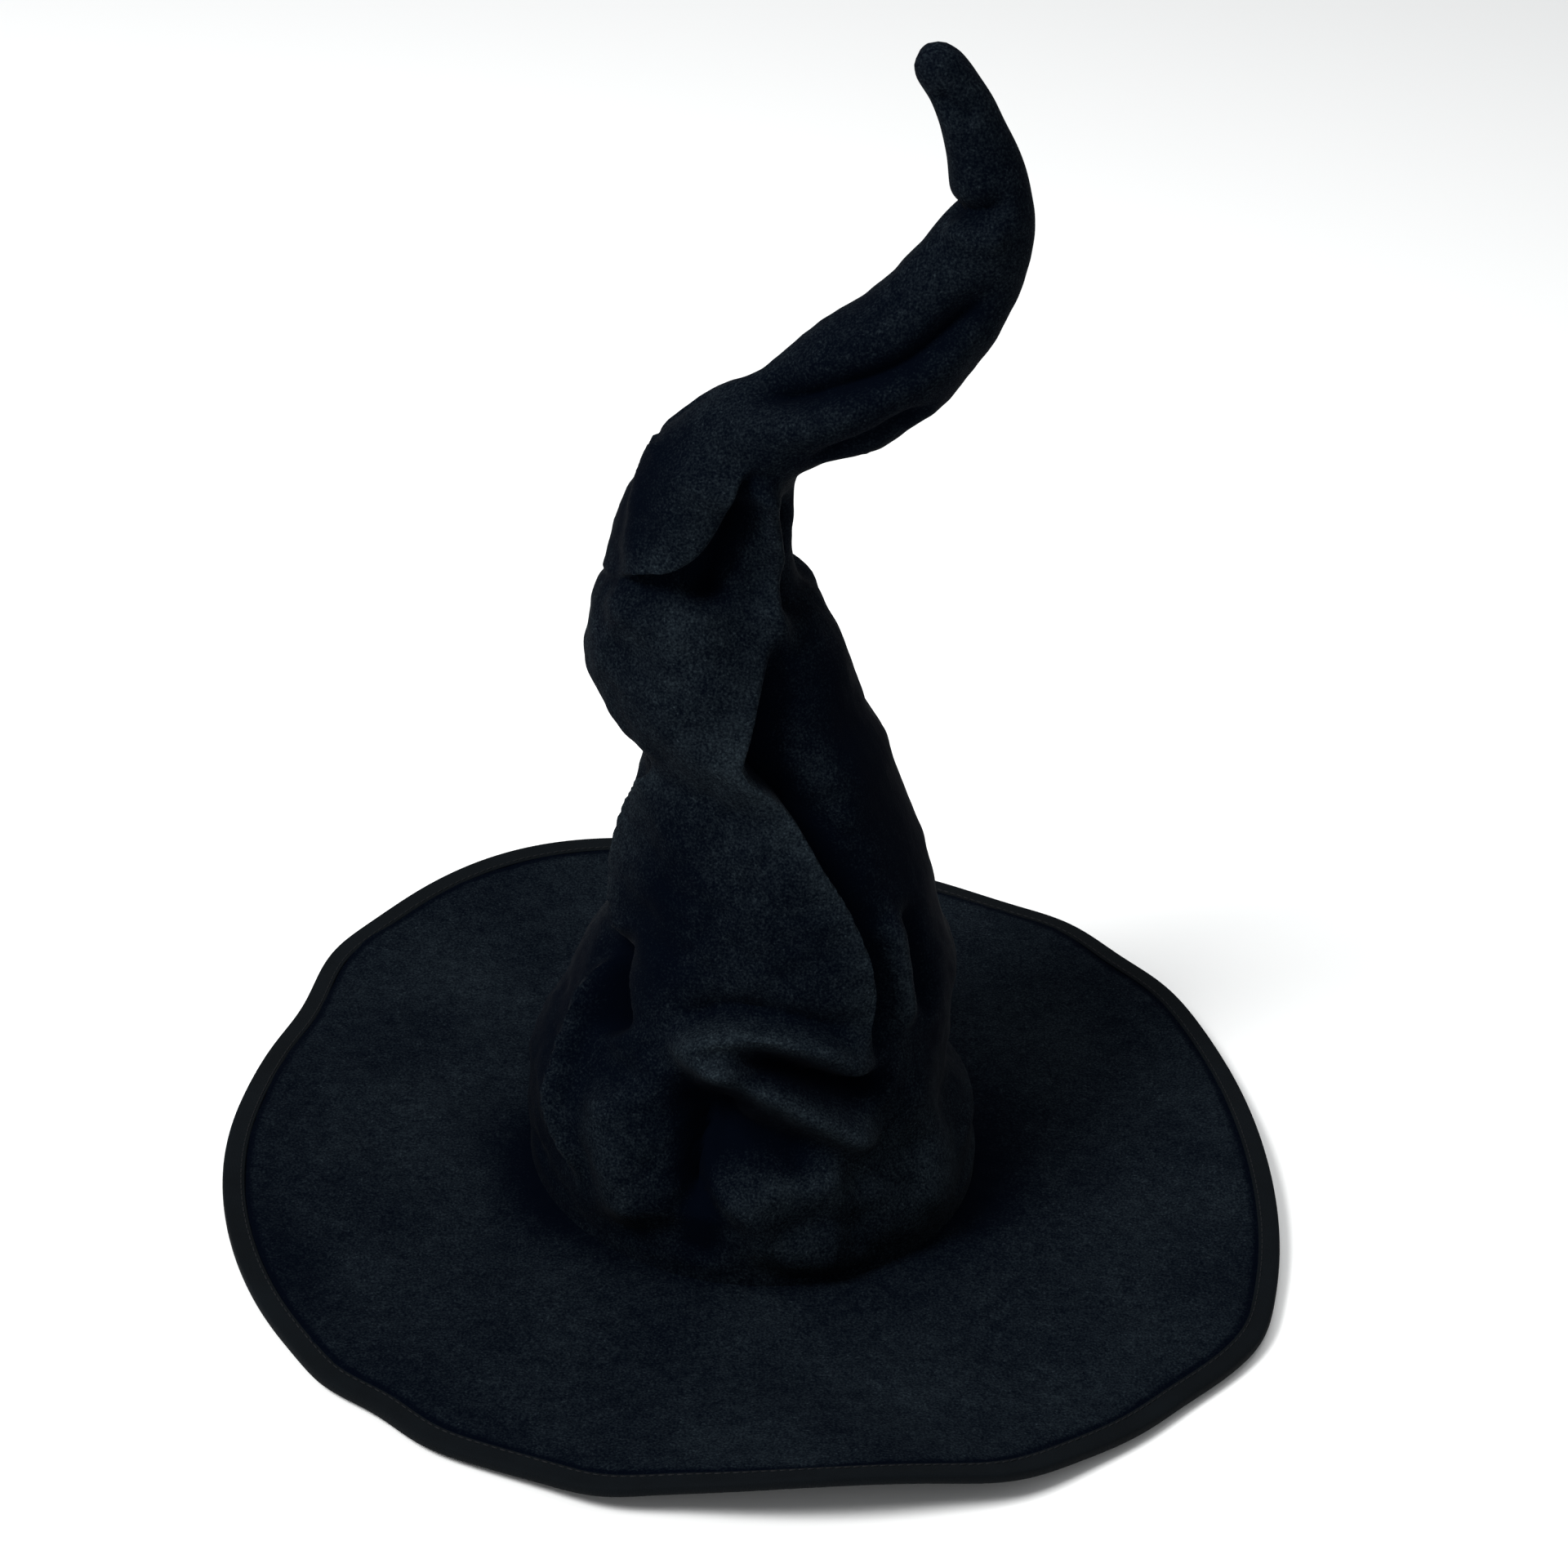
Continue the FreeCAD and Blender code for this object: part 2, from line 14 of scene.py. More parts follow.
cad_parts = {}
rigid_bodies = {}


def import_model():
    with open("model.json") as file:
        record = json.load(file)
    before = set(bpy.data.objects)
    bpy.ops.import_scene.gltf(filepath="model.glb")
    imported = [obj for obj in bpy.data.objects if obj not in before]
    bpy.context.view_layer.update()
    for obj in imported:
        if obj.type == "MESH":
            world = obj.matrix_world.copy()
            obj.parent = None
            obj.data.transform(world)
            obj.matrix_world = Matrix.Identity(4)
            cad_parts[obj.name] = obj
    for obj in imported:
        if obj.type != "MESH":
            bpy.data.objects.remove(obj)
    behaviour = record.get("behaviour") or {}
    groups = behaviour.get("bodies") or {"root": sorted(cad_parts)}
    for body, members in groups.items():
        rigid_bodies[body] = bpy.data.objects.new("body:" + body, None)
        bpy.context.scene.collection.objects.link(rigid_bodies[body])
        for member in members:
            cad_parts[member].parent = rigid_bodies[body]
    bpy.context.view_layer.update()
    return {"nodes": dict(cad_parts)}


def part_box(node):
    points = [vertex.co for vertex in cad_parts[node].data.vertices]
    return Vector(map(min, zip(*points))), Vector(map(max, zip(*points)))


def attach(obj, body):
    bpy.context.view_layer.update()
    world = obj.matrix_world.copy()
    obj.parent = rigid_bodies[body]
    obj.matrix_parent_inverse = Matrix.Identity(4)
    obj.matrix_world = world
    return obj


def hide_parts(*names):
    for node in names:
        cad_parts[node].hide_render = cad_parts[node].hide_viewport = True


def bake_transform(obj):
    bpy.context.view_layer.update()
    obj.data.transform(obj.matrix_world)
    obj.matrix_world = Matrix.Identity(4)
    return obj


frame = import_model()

bl_info = {
    "name": "Crooked Witch Hat",
    "version": (1, 0, 0),
    "blender": (4, 5, 0),
    "location": "3D View > Sidebar > Witch Hat",
    "description": "Makes the velour, binding, lining and stitches of a crooked witch hat",
    "category": "Object",
}

MM = 0.001
THIN_PLY, LIGHT_PLY = 0.0006, 0.0005  # metres: the under cloth and the ribbon, the lining and the binding
ONE_BAND = 0.3142  # the scale of a wave texture that has one band a metre


# ---------------------------------------------------------------- sizes and colours
class HatSizes(bpy.types.PropertyGroup):
    """The hat's sizes that a user would change."""

    cloth: bpy.props.FloatProperty(
        name="Velour", description="Thickness of the velour", default=0.0012, unit="LENGTH"
    )
    binding: bpy.props.FloatProperty(
        name="Binding", description="Width of the edge binding on each side", default=0.0086, unit="LENGTH"
    )
    stitch: bpy.props.FloatProperty(
        name="Stitch", description="Length from one stitch to the next", default=0.0034, unit="LENGTH"
    )
    fold_depth: bpy.props.FloatProperty(
        name="Folds", description="How deep the crown's folds are, 1 as made", default=1.0, min=0.0, max=1.5
    )


def colour_of(name, what, default):
    what = "Colour of the " + what
    return bpy.props.FloatVectorProperty(name=name, description=what, subtype="COLOR", size=3, default=default)


class HatColours(bpy.types.PropertyGroup):
    """The hat's colours."""

    velour: colour_of("Velour", "velour", (0.0034, 0.0052, 0.0083))
    binding: colour_of("Binding", "binding", (0.0024, 0.0034, 0.0044))
    lining: colour_of("Lining", "lining", (0.0075, 0.0080, 0.0105))
    thread: colour_of("Thread", "stitches", (0.0045, 0.0052, 0.0064))
    floor: colour_of("Floor", "floor", (0.86, 0.865, 0.86))


def sizes():
    return bpy.context.scene.witch_hat_sizes


def colours():
    return bpy.context.scene.witch_hat_colours


# ---------------------------------------------------------------- materials
def maths(operation, swapped=False):
    """A method that adds a Math node of that operation."""

    def method(self, other):
        first, second = (other, self) if swapped else (self, other)
        return self.recipe.add("ShaderNodeMath", {"operation": operation}, {0: first, 1: second})

    return method


class Value:
    """A socket of a shader tree. Python's operators on it add Math nodes."""

    def __init__(self, recipe, socket):
        self.recipe, self.socket = recipe, socket

    __add__, __radd__ = maths("ADD"), maths("ADD", True)
    __mul__, __rmul__ = maths("MULTIPLY"), maths("MULTIPLY", True)
    __sub__, __truediv__, __pow__ = maths("SUBTRACT"), maths("DIVIDE"), maths("POWER")


class Recipe:
    """A material while it is made. Every node comes from add."""

    def __init__(self, name):
        self.material = bpy.data.materials.new(name)
        self.material.use_nodes = True
        self.tree = self.material.node_tree
        self.tree.nodes.clear()
        self.output = self.tree.nodes.new("ShaderNodeOutputMaterial")
        self.coords = self.tree.nodes.new("ShaderNodeTexCoord")

    def add(self, kind, settings=None, values=None, out=0):
        """A node of that kind, its settings set first, then its sockets from numbers, colours or links."""
        node = self.tree.nodes.new(kind)
        for key, setting in (settings or {}).items():
            if key == "stops":
                ramp = node.color_ramp
                while len(ramp.elements) < len(setting):
                    ramp.elements.new(0.5)
                for element, (place, grey) in zip(ramp.elements, setting):
                    element.position = place
                    element.color = (grey, grey, grey, 1.0)
            else:
                setattr(node, key, setting)
        for key, value in (values or {}).items():
            if isinstance(value, Value):
                self.tree.links.new(value.socket, node.inputs[key])
            else:
                node.inputs[key].default_value = value
        return Value(self, node.outputs[out])

    def object_place(self):
        return Value(self, self.coords.outputs["Object"])

    def cloth_place(self):
        return Value(self, self.coords.outputs["UV"])

    def noise(self, place, scale, detail=2.0, roughness=0.5, stretch=(1.0, 1.0, 1.0)):
        """Fractal noise about 0.5. scale is features per metre."""
        if stretch != (1.0, 1.0, 1.0):
            place = self.add("ShaderNodeMapping", None, {"Vector": place, "Scale": stretch})
        settings = {"noise_dimensions": "3D"}
        values = {"Vector": place, "Scale": scale, "Detail": detail, "Roughness": roughness}
        return self.add("ShaderNodeTexNoise", settings, values)

    def bands(self, place, direction, scale, distortion=0.0):
        """Even stripes across the cloth, 0 to 1."""
        settings = {"wave_type": "BANDS", "bands_direction": direction, "wave_profile": "SIN"}
        values = {"Vector": place, "Scale": scale, "Distortion": distortion}
        return self.add("ShaderNodeTexWave", settings, values, out=1)

    def ramp(self, value, stops):
        return self.add("ShaderNodeValToRGB", {"stops": stops}, {"Fac": value})

    def blend_colour(self, factor, first, second):
        def colour(c):
            return c if isinstance(c, Value) else (c[0], c[1], c[2], 1.0)

        settings = {"data_type": "RGBA", "blend_type": "MIX"}
        values = {0: factor, 6: colour(first), 7: colour(second)}
        return self.add("ShaderNodeMix", settings, values, out=2)

    def bump(self, height, strength, distance):
        values = {"Strength": strength, "Distance": distance, "Height": height}
        return self.add("ShaderNodeBump", None, values)

    def surface(self, values):
        shader = self.add("ShaderNodeBsdfPrincipled", None, values)
        self.tree.links.new(shader.socket, self.output.inputs["Surface"])
        return self.material


def shade(colour, factor):
    return tuple(c * factor for c in colour)


def velour_material(name, grain):
    """Short velour: its colour blends from painted shade to painted highlight by its attribute, partly the
    nap's direction, with mottled nap and single bright fibres that are brightest where light is painted.
    """
    r = Recipe(name)
    base = tuple(colours().velour)
    cloth, solid = r.cloth_place(), r.object_place()
    lie = r.add("ShaderNodeAttribute", {"attribute_name": "lie"}, None, out=2)
    patches = r.noise(solid, 17.0, 3.0, 0.55)
    mottle = r.noise(solid, 150.0, 4.0, 0.62)
    streaks = r.noise(cloth, 420.0, 2.0, 0.55, (1.0, 0.35, 1.0))
    fibres = r.noise(solid, 1100.0, 1.0, 0.5)
    flecks = r.ramp(r.noise(solid, 860.0, 1.0, 0.5), [(0.62, 0.0), (0.76, 1.0)])
    # the attribute carries painted shade in the folds and painted highlights on the ridges, partly the nap's
    # direction; the noises add the cloth's grain
    grain_and_painted_light = lie + 0.40 * (patches - 0.5) + grain * (mottle - 0.5) + 0.5 * grain * (streaks - 0.5)
    grain_and_painted_light = grain_and_painted_light + 2.2 * grain * (fibres - 0.5) + 1.3 * grain * flecks * lie
    grain_and_painted_light = r.add("ShaderNodeClamp", None, {"Value": (grain_and_painted_light - 0.1) / 0.9}) ** 2.2
    # the two ends of the blend: the colour of painted shade and the colour of painted highlight
    away = (base[0] * 0.03, base[1] * 0.14, base[2] * 0.30)
    towards = (base[0] * 5.3, base[1] * 4.95, base[2] * 3.75)
    colour = r.blend_colour(grain_and_painted_light, away, towards)
    height = 0.45 * mottle + 0.25 * streaks + 0.3 * fibres
    return r.surface(
        {
            "Base Color": colour,
            "Roughness": 0.84 + 0.12 * streaks,
            "Specular IOR Level": 0.015,
            "Sheen Weight": 0.007,
            "Sheen Roughness": 0.4,
            "Sheen Tint": (0.80, 0.88, 1.0, 1.0),
            "Normal": r.bump(height, 0.5, 0.0008),
        }
    )


def woven_material(name, base, pitch, sheen, gloss):
    """Plain woven cloth: two crossed sets of threads of that pitch in metres."""
    r = Recipe(name)
    cloth, solid = r.cloth_place(), r.object_place()
    scale = ONE_BAND / pitch
    weave = r.bands(cloth, "X", scale, 0.6) * 0.5 + r.bands(cloth, "Y", scale, 0.6) * 0.5
    wear = r.ramp(r.noise(solid, 45.0, 3.0, 0.6), [(0.3, 0.0), (0.7, 1.0)])
    mix = 0.55 * weave + 0.45 * wear
    colour = r.blend_colour(mix, shade(base, 0.62), shade(base, 1.45))
    return r.surface(
        {
            "Base Color": colour,
            "Roughness": 0.7 + 0.12 * wear,
            "Specular IOR Level": gloss,
            "Sheen Weight": sheen,
            "Sheen Roughness": 0.4,
            "Sheen Tint": (0.75, 0.80, 0.88, 1.0),
            "Normal": r.bump(weave, 0.6, 0.00018),
        }
    )


def ribbed_material(name, base, pitch):
    """Grosgrain ribbon: ribs across it, a fine selvedge sheen."""
    r = Recipe(name)
    cloth, solid = r.cloth_place(), r.object_place()
    ribs = r.bands(cloth, "X", ONE_BAND / pitch)
    wear = r.noise(solid, 60.0, 3.0, 0.6)
    colour = r.blend_colour(0.7 * ribs + 0.3 * wear, shade(base, 0.55), shade(base, 1.5))
    return r.surface(
        {
            "Base Color": colour,
            "Roughness": 0.5 + 0.2 * wear,
            "Specular IOR Level": 0.25,
            "Normal": r.bump(ribs, 0.8, 0.0003),
        }
    )


def satin_material(name, base):
    """Lining cloth: fine twill with a soft shine."""
    r = Recipe(name)
    cloth, solid = r.cloth_place(), r.object_place()
    twill = r.bands(cloth, "DIAGONAL", 420.0, 0.4)
    crush = r.noise(solid, 26.0, 4.0, 0.6)
    colour = r.blend_colour(0.4 * twill + 0.6 * crush, shade(base, 0.6), shade(base, 1.5))
    height = 0.25 * twill + 0.75 * crush
    return r.surface(
        {
            "Base Color": colour,
            "Roughness": 0.34 + 0.16 * crush,
            "Specular IOR Level": 0.35,
            "Normal": r.bump(height, 0.4, 0.0008),
        }
    )


def metal_material(name, base, rough):
    """Drawn steel wire or pressed aluminium, faintly scratched."""
    r = Recipe(name)
    scratch = r.noise(r.object_place(), 900.0, 3.0, 0.6)
    colour = r.blend_colour(scratch, shade(base, 0.7), shade(base, 1.1))
    values = {"Base Color": colour, "Metallic": 1.0, "Roughness": rough + 0.2 * scratch}
    values["Normal"] = r.bump(scratch, 0.2, 0.0001)
    return r.surface(values)


def fibre_material(name, base):
    """Non-woven felt or loose fibre fill."""
    r = Recipe(name)
    solid = r.object_place()
    tufts = r.noise(solid, 220.0, 5.0, 0.7)
    hairs = r.noise(solid, 1500.0, 2.0, 0.6)
    colour = r.blend_colour(0.6 * tufts + 0.4 * hairs, shade(base, 0.75), shade(base, 1.08))
    height = 0.6 * tufts + 0.4 * hairs
    return r.surface(
        {
            "Base Color": colour,
            "Roughness": 0.9,
            "Specular IOR Level": 0.1,
            "Normal": r.bump(height, 0.7, 0.001),
        }
    )


# ---------------------------------------------------------------- meshes
def sheet_mesh(name, points, cap_end=False):
    """A mesh through rows of points in metres, with a UV map in metres round and along the cloth."""
    rows, columns = points.shape[:2]
    corners = points.reshape(-1, 3)
    around = np.linalg.norm(np.diff(points, axis=1, append=points[:, :1]), axis=2)
    along = np.linalg.norm(np.diff(points, axis=0), axis=2).mean(axis=1)
    v_row = np.concatenate([[0.0], np.cumsum(along)])
    u_step = around[rows // 3].mean()
    faces, uvs = [], []
    for i in range(rows - 1):
        for j in range(columns):
            k = (j + 1) % columns
            faces.append((i * columns + j, i * columns + k, (i + 1) * columns + k, (i + 1) * columns + j))
            u0, u1 = j * u_step, (j + 1) * u_step
            uvs += [(u0, v_row[i]), (u1, v_row[i]), (u1, v_row[i + 1]), (u0, v_row[i + 1])]
    if cap_end:
        corners = np.vstack([corners, points[-1].mean(axis=0)])
        top, last = len(corners) - 1, (rows - 1) * columns
        for j in range(columns):
            faces.append((last + j, last + (j + 1) % columns, top))
            u0, u1 = j * u_step, (j + 1) * u_step
            uvs += [(u0, v_row[-1]), (u1, v_row[-1]), ((u0 + u1) / 2, v_row[-1] + u_step)]
    mesh = bpy.data.meshes.new(name)
    mesh.from_pydata(corners.tolist(), [], faces)
    layer = mesh.uv_layers.new(name="cloth")
    layer.data.foreach_set("uv", np.array(uvs, np.float32).ravel())
    mesh.update()
    piece = bpy.data.objects.new(name, mesh)
    bpy.context.scene.collection.objects.link(piece)
    return piece


def lay_nap_and_painted_light(piece, lie):
    """Stores the nap and painted light at each vertex, 0 painted shade away from the light and 1 painted
    highlight towards it.
    """
    values = np.full(len(piece.data.vertices), float(lie[-1].mean()), np.float32)
    values[: lie.size] = lie.ravel()
    piece.data.attributes.new("lie", "FLOAT", "POINT").data.foreach_set("value", values)


def pick(piece):
    """Makes the piece the only selected object, and the active one."""
    for other in bpy.context.scene.objects:
        other.select_set(False)
    piece.select_set(True)
    bpy.context.view_layer.objects.active = piece


def thicken(piece, thickness):
    """Gives a sheet its thickness, on its inner side, and shades it smooth."""
    modifier = piece.modifiers.new("thickness", "SOLIDIFY")
    modifier.thickness = thickness
    modifier.offset = -1.0
    modifier.use_rim = True
    modifier.use_even_offset = False
    pick(piece)
    bpy.ops.object.modifier_apply(modifier=modifier.name)
    bpy.ops.object.shade_smooth_by_angle(angle=math.radians(50.0))


def dress(piece, material, body):
    """Gives a piece its material and the body it rides on."""
    piece.data.materials.clear()
    piece.data.materials.append(material)
    if body:
        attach(piece, body)


def soft_step(x):
    x = np.clip(x, 0.0, 1.0)
    return x * x * (3.0 - 2.0 * x)


def bell(x):
    return np.exp(-(x**2))


def turned(degrees, centre):
    """How far directions are from a centre, -180 to 180 degrees."""
    return (degrees - centre + 180.0) % 360.0 - 180.0


def drift(points, wavelength, seed):
    """Smooth irregular waves in space, about -1 to 1, for points in millimetres."""
    rng = np.random.default_rng(seed)
    total = np.zeros(points.shape[:-1])
    for _ in range(9):
        way = rng.normal(size=3)
        way *= (2.0 * math.pi / wavelength) * rng.uniform(0.6, 1.5) / np.linalg.norm(way)
        total += np.sin(points @ way + rng.uniform(0.0, 2.0 * math.pi))
    return total / 3.6


# ---------------------------------------------------------------- the crown's shape
# (across, height, tilt in degrees, half width, half depth, towards the back)
SPINE = (
    (0, 4.5, 0, 91, 91, 0),
    (0, 12, 0, 93.6, 94.5, 0),
    (-1, 22, 0, 93.6, 95, 0),
    (-3, 36, 0, 91, 93, 0),
    (-8, 52, 0, 85.5, 87, 0),
    (-3, 76, 0, 81.5, 80.5, 0),
    (1.5, 101, 0, 76, 75, 1),
    (4, 130, 0, 65, 65.5, 2),
    (2, 153, 0, 59.8, 60, 3),
    (-1.5, 176, 0, 54.2, 53, 4),
    (-5, 198, 0, 49, 46, 4),
    (-18.5, 220, 0, 51.5, 42, 3),
    (-27, 241, -2, 50.6, 39, 2),
    (-32, 262, -3, 44, 35, 1),
    (-36, 273, -3, 37, 31, 0),
    (-36, 284, -2, 34, 29, 0),
    (-35, 295, 0, 33, 28, 0),
    (-33, 306, 4, 31.5, 27, -1),
    (-27, 327, 11, 26.5, 25, -2),
    (-13, 340.5, 25, 25, 24.5, -3),
    (6, 351, 31, 26.4, 25, -3),
    (23.7, 366.7, 34, 27, 24, -2),
    (39.6, 382, 32, 24, 22, 0),
    (50.7, 399.6, 24, 21.9, 19, 0),
    (58.2, 417, 12, 18.5, 16, 0),
    (60.8, 431, 0, 15.1, 14, 0),
    (58.4, 442, -11, 14, 13, 0),
    (54.4, 454, -17, 12.2, 11.6, 0),
    (50, 464, -20, 11, 10.6, 0),
    (44.7, 473, -24, 10.2, 9.8, 0),
    (37.8, 481.5, -32, 9.2, 8.8, 0),
    (33.6, 486.2, -38, 6.6, 6.2, 0),
    (31.6, 488.2, -42, 2.2, 2.0, 0),
)

# Each fold is (kind, height in mm, half width in mm, [(direction, distance up the cloth), ...]).
# A ridge or valley lies along its line. A lap is a step: the cloth on the left of the walk along the
# line lies over the cloth on its right.
FRONT_FOLDS = (
    ("lap", 13, 7, [
        (310, 84), (304, 98), (302, 112), (301, 130), (297, 153), (288, 177),
        (278, 202), (273, 217), (281, 233), (290, 248), (302, 262), (315, 273),
    ]),
    ("lap", 9, 6, [(226, 215), (200, 180), (192, 150), (199, 130), (214, 111), (227, 92)]),
    ("valley", -22, 9.5, [(202, 124), (209, 111), (216, 98), (221, 86)]),
    ("ridge", 10, 5.5, [
        (198, 128), (202, 112), (204, 96), (206, 82), (210, 68), (215, 54), (222, 38), (227, 20),
    ]),
    ("ridge", 10, 14, [(228, 78), (234, 62), (239, 46), (241, 30), (243, 16)]),
    ("valley", -15, 8, [(246, 92), (252, 80), (257, 66), (260, 50), (260, 32), (258, 6)]),
    ("valley", -9, 10, [(255, 88), (262, 76), (266, 62), (263, 52)]),
    ("valley", -5, 5, [(240, 106), (250, 115), (262, 119), (276, 117), (290, 112), (300, 104)]),
    ("valley", -11, 9, [(262, 84), (266, 72), (276, 65), (287, 58), (297, 50)]),
    ("ridge", 11, 5, [(240, 98), (248, 102), (257, 107), (270, 109), (286, 105), (297, 96), (306, 89)]),
    ("valley", -14, 6.5, [(260, 100), (274, 96), (288, 90), (301, 84), (314, 80)]),
    ("ridge", 14, 6.5, [(238, 98), (250, 97), (264, 94), (277, 86), (289, 76), (301, 66), (315, 56)]),
    ("ridge", 6, 14, [(314, 74), (324, 62), (330, 48), (328, 34), (319, 24), (308, 18)]),
    ("ridge", 8, 11, [(266, 30), (277, 42), (290, 45), (304, 38)]),
    ("ridge", 5, 12, [(270, 24), (284, 20), (298, 17)]),
    ("ridge", 7, 7, [(318, 150), (318, 124), (318, 98)]),
    ("valley", -6, 6, [(328, 150), (331, 120), (331, 96)]),
    ("ridge", 4, 10, [(205, 280), (236, 277), (262, 274), (290, 268)]),
    ("valley", -12, 8, [(273, 278), (279, 294), (285, 311), (287, 330)]),
    ("ridge", 9, 5, [(290, 344), (306, 328), (316, 310), (322, 291), (312, 270), (303, 258)]),
    ("valley", -5, 5, [(335, 330), (334, 310), (330, 288), (322, 270)]),
    ("lap", 8, 5.5, [
        (214, 287), (226, 290), (240, 294), (255, 297), (266, 304),
        (273, 313), (277, 323), (278, 334), (273, 346),
    ]),
    ("lap", 1.4, 5, [(150, 287), (175, 283), (200, 284), (222, 288), (236, 290)]),
    ("valley", -9, 7, [(190, 366), (215, 374), (244, 388), (266, 410), (281, 436), (305, 455)]),
    ("ridge", 4, 9, [(250, 352), (262, 372), (276, 398), (292, 425), (310, 440)]),
    ("valley", -4, 5, [(293, 358), (302, 384), (322, 406)]),
    ("valley", -5, 4, [(120, 480), (160, 477), (190, 475), (230, 476), (275, 479), (310, 480)]),
    ("ridge", 2.5, 5, [(200, 468), (250, 466), (300, 470)]),
    ("valley", -2, 4, [(230, 525), (262, 516), (290, 510)]),
)
BACK_FOLDS = (
    ("ridge", 2.0, 3.5, [(90, 40), (90, 90), (92, 140), (96, 190), (108, 235)]),
    ("ridge", 4, 13, [(44, 232), (50, 190), (54, 150), (50, 110), (36, 75)]),
    ("valley", -6, 9, [(68, 244), (68, 205), (71, 165), (68, 130)]),
    ("ridge", 6, 11, [(150, 250), (140, 215), (132, 170), (136, 130), (146, 96)]),
    ("valley", -6, 9, [(122, 236), (119, 200), (116, 160), (120, 120)]),
    ("valley", -8, 9, [(165, 222), (140, 214), (118, 212), (100, 210)]),
    ("ridge", 6, 9, [(172, 240), (148, 234), (120, 232), (84, 236)]),
    ("ridge", 6, 15, [(40, 60), (62, 44), (84, 36)]),
    ("valley", -4, 9, [(20, 66), (40, 84), (62, 88)]),
    ("ridge", 6, 14, [(110, 36), (132, 48), (152, 66)]),
    ("valley", -5, 9, [(128, 78), (148, 92), (168, 96)]),
    ("lap", 6, 6, [(10, 330), (40, 318), (70, 304), (100, 294), (130, 288), (155, 286)]),
    ("ridge", 5, 7, [(20, 262), (50, 276), (85, 284), (120, 282)]),
    ("valley", -5, 6, [(350, 352), (10, 350), (40, 342), (66, 330)]),
    ("ridge", 4, 6, [(352, 364), (15, 366), (50, 360)]),
    ("valley", -6, 7, [(176, 360), (150, 372), (118, 392), (92, 416), (70, 442)]),
    ("ridge", 3, 8, [(60, 372), (48, 400), (38, 430)]),
    ("valley", -3, 4, [(40, 470), (80, 474), (120, 480)]),
)
# Patches of painted shade (below 0) or painted light, partly the nap's direction:
# (shade, direction, half width in degrees, distance up, half width in millimetres).
NAP_AND_PAINTED_LIGHT_PATCHES = (
    (-0.30, 350, 44, 185, 80),
    (-0.16, 330, 14, 215, 30),
    (-0.26, 192, 24, 55, 60),
    (-0.28, 226, 17, 135, 42),
    (0.10, 258, 16, 232, 50),
    (0.20, 317, 7, 122, 30),
    (0.12, 300, 12, 205, 26),
    (0.06, 318, 20, 44, 26),
    (-0.10, 238, 14, 45, 45),
    (-0.26, 207, 24, 318, 28),
    (-0.06, 300, 50, 350, 30),
    (-0.10, 300, 60, 400, 40),
    (0.06, 300, 80, 450, 40),
)
SEAM_REACH = 94.2  # how far from the axis the cloth stays where it covers the head seam's tape
COLUMNS = 184
SPLIT = 372.0  # distance up the cone where the crown's mesh ends and the tail's begins
ROW = 1.65  # millimetres from one row of the mesh to the next


def spine_lengths():
    table = np.array(SPINE, float)
    steps = np.hypot(np.diff(table[:, 0]), np.diff(table[:, 1]))
    return np.concatenate([[0.0], np.cumsum(steps)]), table


def eased(lengths, table, wanted):
    """Smooth values of the table's columns at the wanted lengths, with no overshoot at its rows."""
    slope = np.diff(table, axis=0) / np.diff(lengths)[:, None]
    tangent = np.zeros_like(table)
    tangent[0], tangent[-1] = slope[0], slope[-1]
    before, after = slope[:-1], slope[1:]
    same_way = before * after > 0
    joint = np.where(same_way, 2.0 * before * after / np.where(same_way, before + after, 1.0), 0.0)
    tangent[1:-1] = joint
    i = np.clip(np.searchsorted(lengths, wanted, side="right") - 1, 0, len(lengths) - 2)
    h = (lengths[i + 1] - lengths[i])[:, None]
    t = (wanted - lengths[i])[:, None] / h
    value = (2 * t**3 - 3 * t**2 + 1) * table[i] + (t**3 - 2 * t**2 + t) * h * tangent[i]
    value += (-2 * t**3 + 3 * t**2) * table[i + 1] + (t**3 - t**2) * h * tangent[i + 1]
    return value


def crown_grid(wanted):
    """The smooth crown in millimetres: points, directions round and up it, and the radius of each row."""
    lengths, table = spine_lengths()
    rows = eased(lengths, table, wanted)
    turn = np.radians(np.arange(COLUMNS) * 360.0 / COLUMNS)
    tilt = np.radians(rows[:, 2])[:, None]
    wide, deep = rows[:, 3][:, None], rows[:, 4][:, None]
    x = rows[:, 0][:, None] + wide * np.cos(turn) * np.cos(tilt)
    y = rows[:, 5][:, None] + deep * np.sin(turn)
    z = rows[:, 1][:, None] - wide * np.cos(turn) * np.sin(tilt)
    points = np.stack([x, y, z], axis=-1)
    around = np.roll(points, -1, axis=1) - np.roll(points, 1, axis=1)
    around /= np.linalg.norm(around, axis=2, keepdims=True)
    up = np.gradient(points, axis=0)
    up /= np.linalg.norm(up, axis=2, keepdims=True) + 1e-9
    out = np.cross(around, up)
    out /= np.linalg.norm(out, axis=2, keepdims=True) + 1e-9
    centre = np.stack([rows[:, 0], rows[:, 5], rows[:, 1]], axis=-1)[:, None, :]
    return points, around, up, out, (wide + deep)[:, 0] / 2.0, centre


def smooth_line(points, parts=7):
    """A smooth line through the fold's points, by Catmull-Rom."""
    p = np.array(points, float)
    for i in range(1, len(p)):
        while p[i, 0] - p[i - 1, 0] > 180:
            p[i, 0] -= 360
        while p[i, 0] - p[i - 1, 0] < -180:
            p[i, 0] += 360
    q = np.vstack([2 * p[0] - p[1], p, 2 * p[-1] - p[-2]])
    line = []
    for i in range(1, len(q) - 2):
        for t in np.linspace(0, 1, parts, endpoint=False):
            a, b, c, d = q[i - 1], q[i], q[i + 1], q[i + 2]
            bend, twist = 2 * a - 5 * b + 4 * c - d, 3 * b - a - 3 * c + d
            line.append(0.5 * (2 * b + (c - a) * t + bend * t**2 + twist * t**3))
    line.append(p[-1])
    return np.array(line)


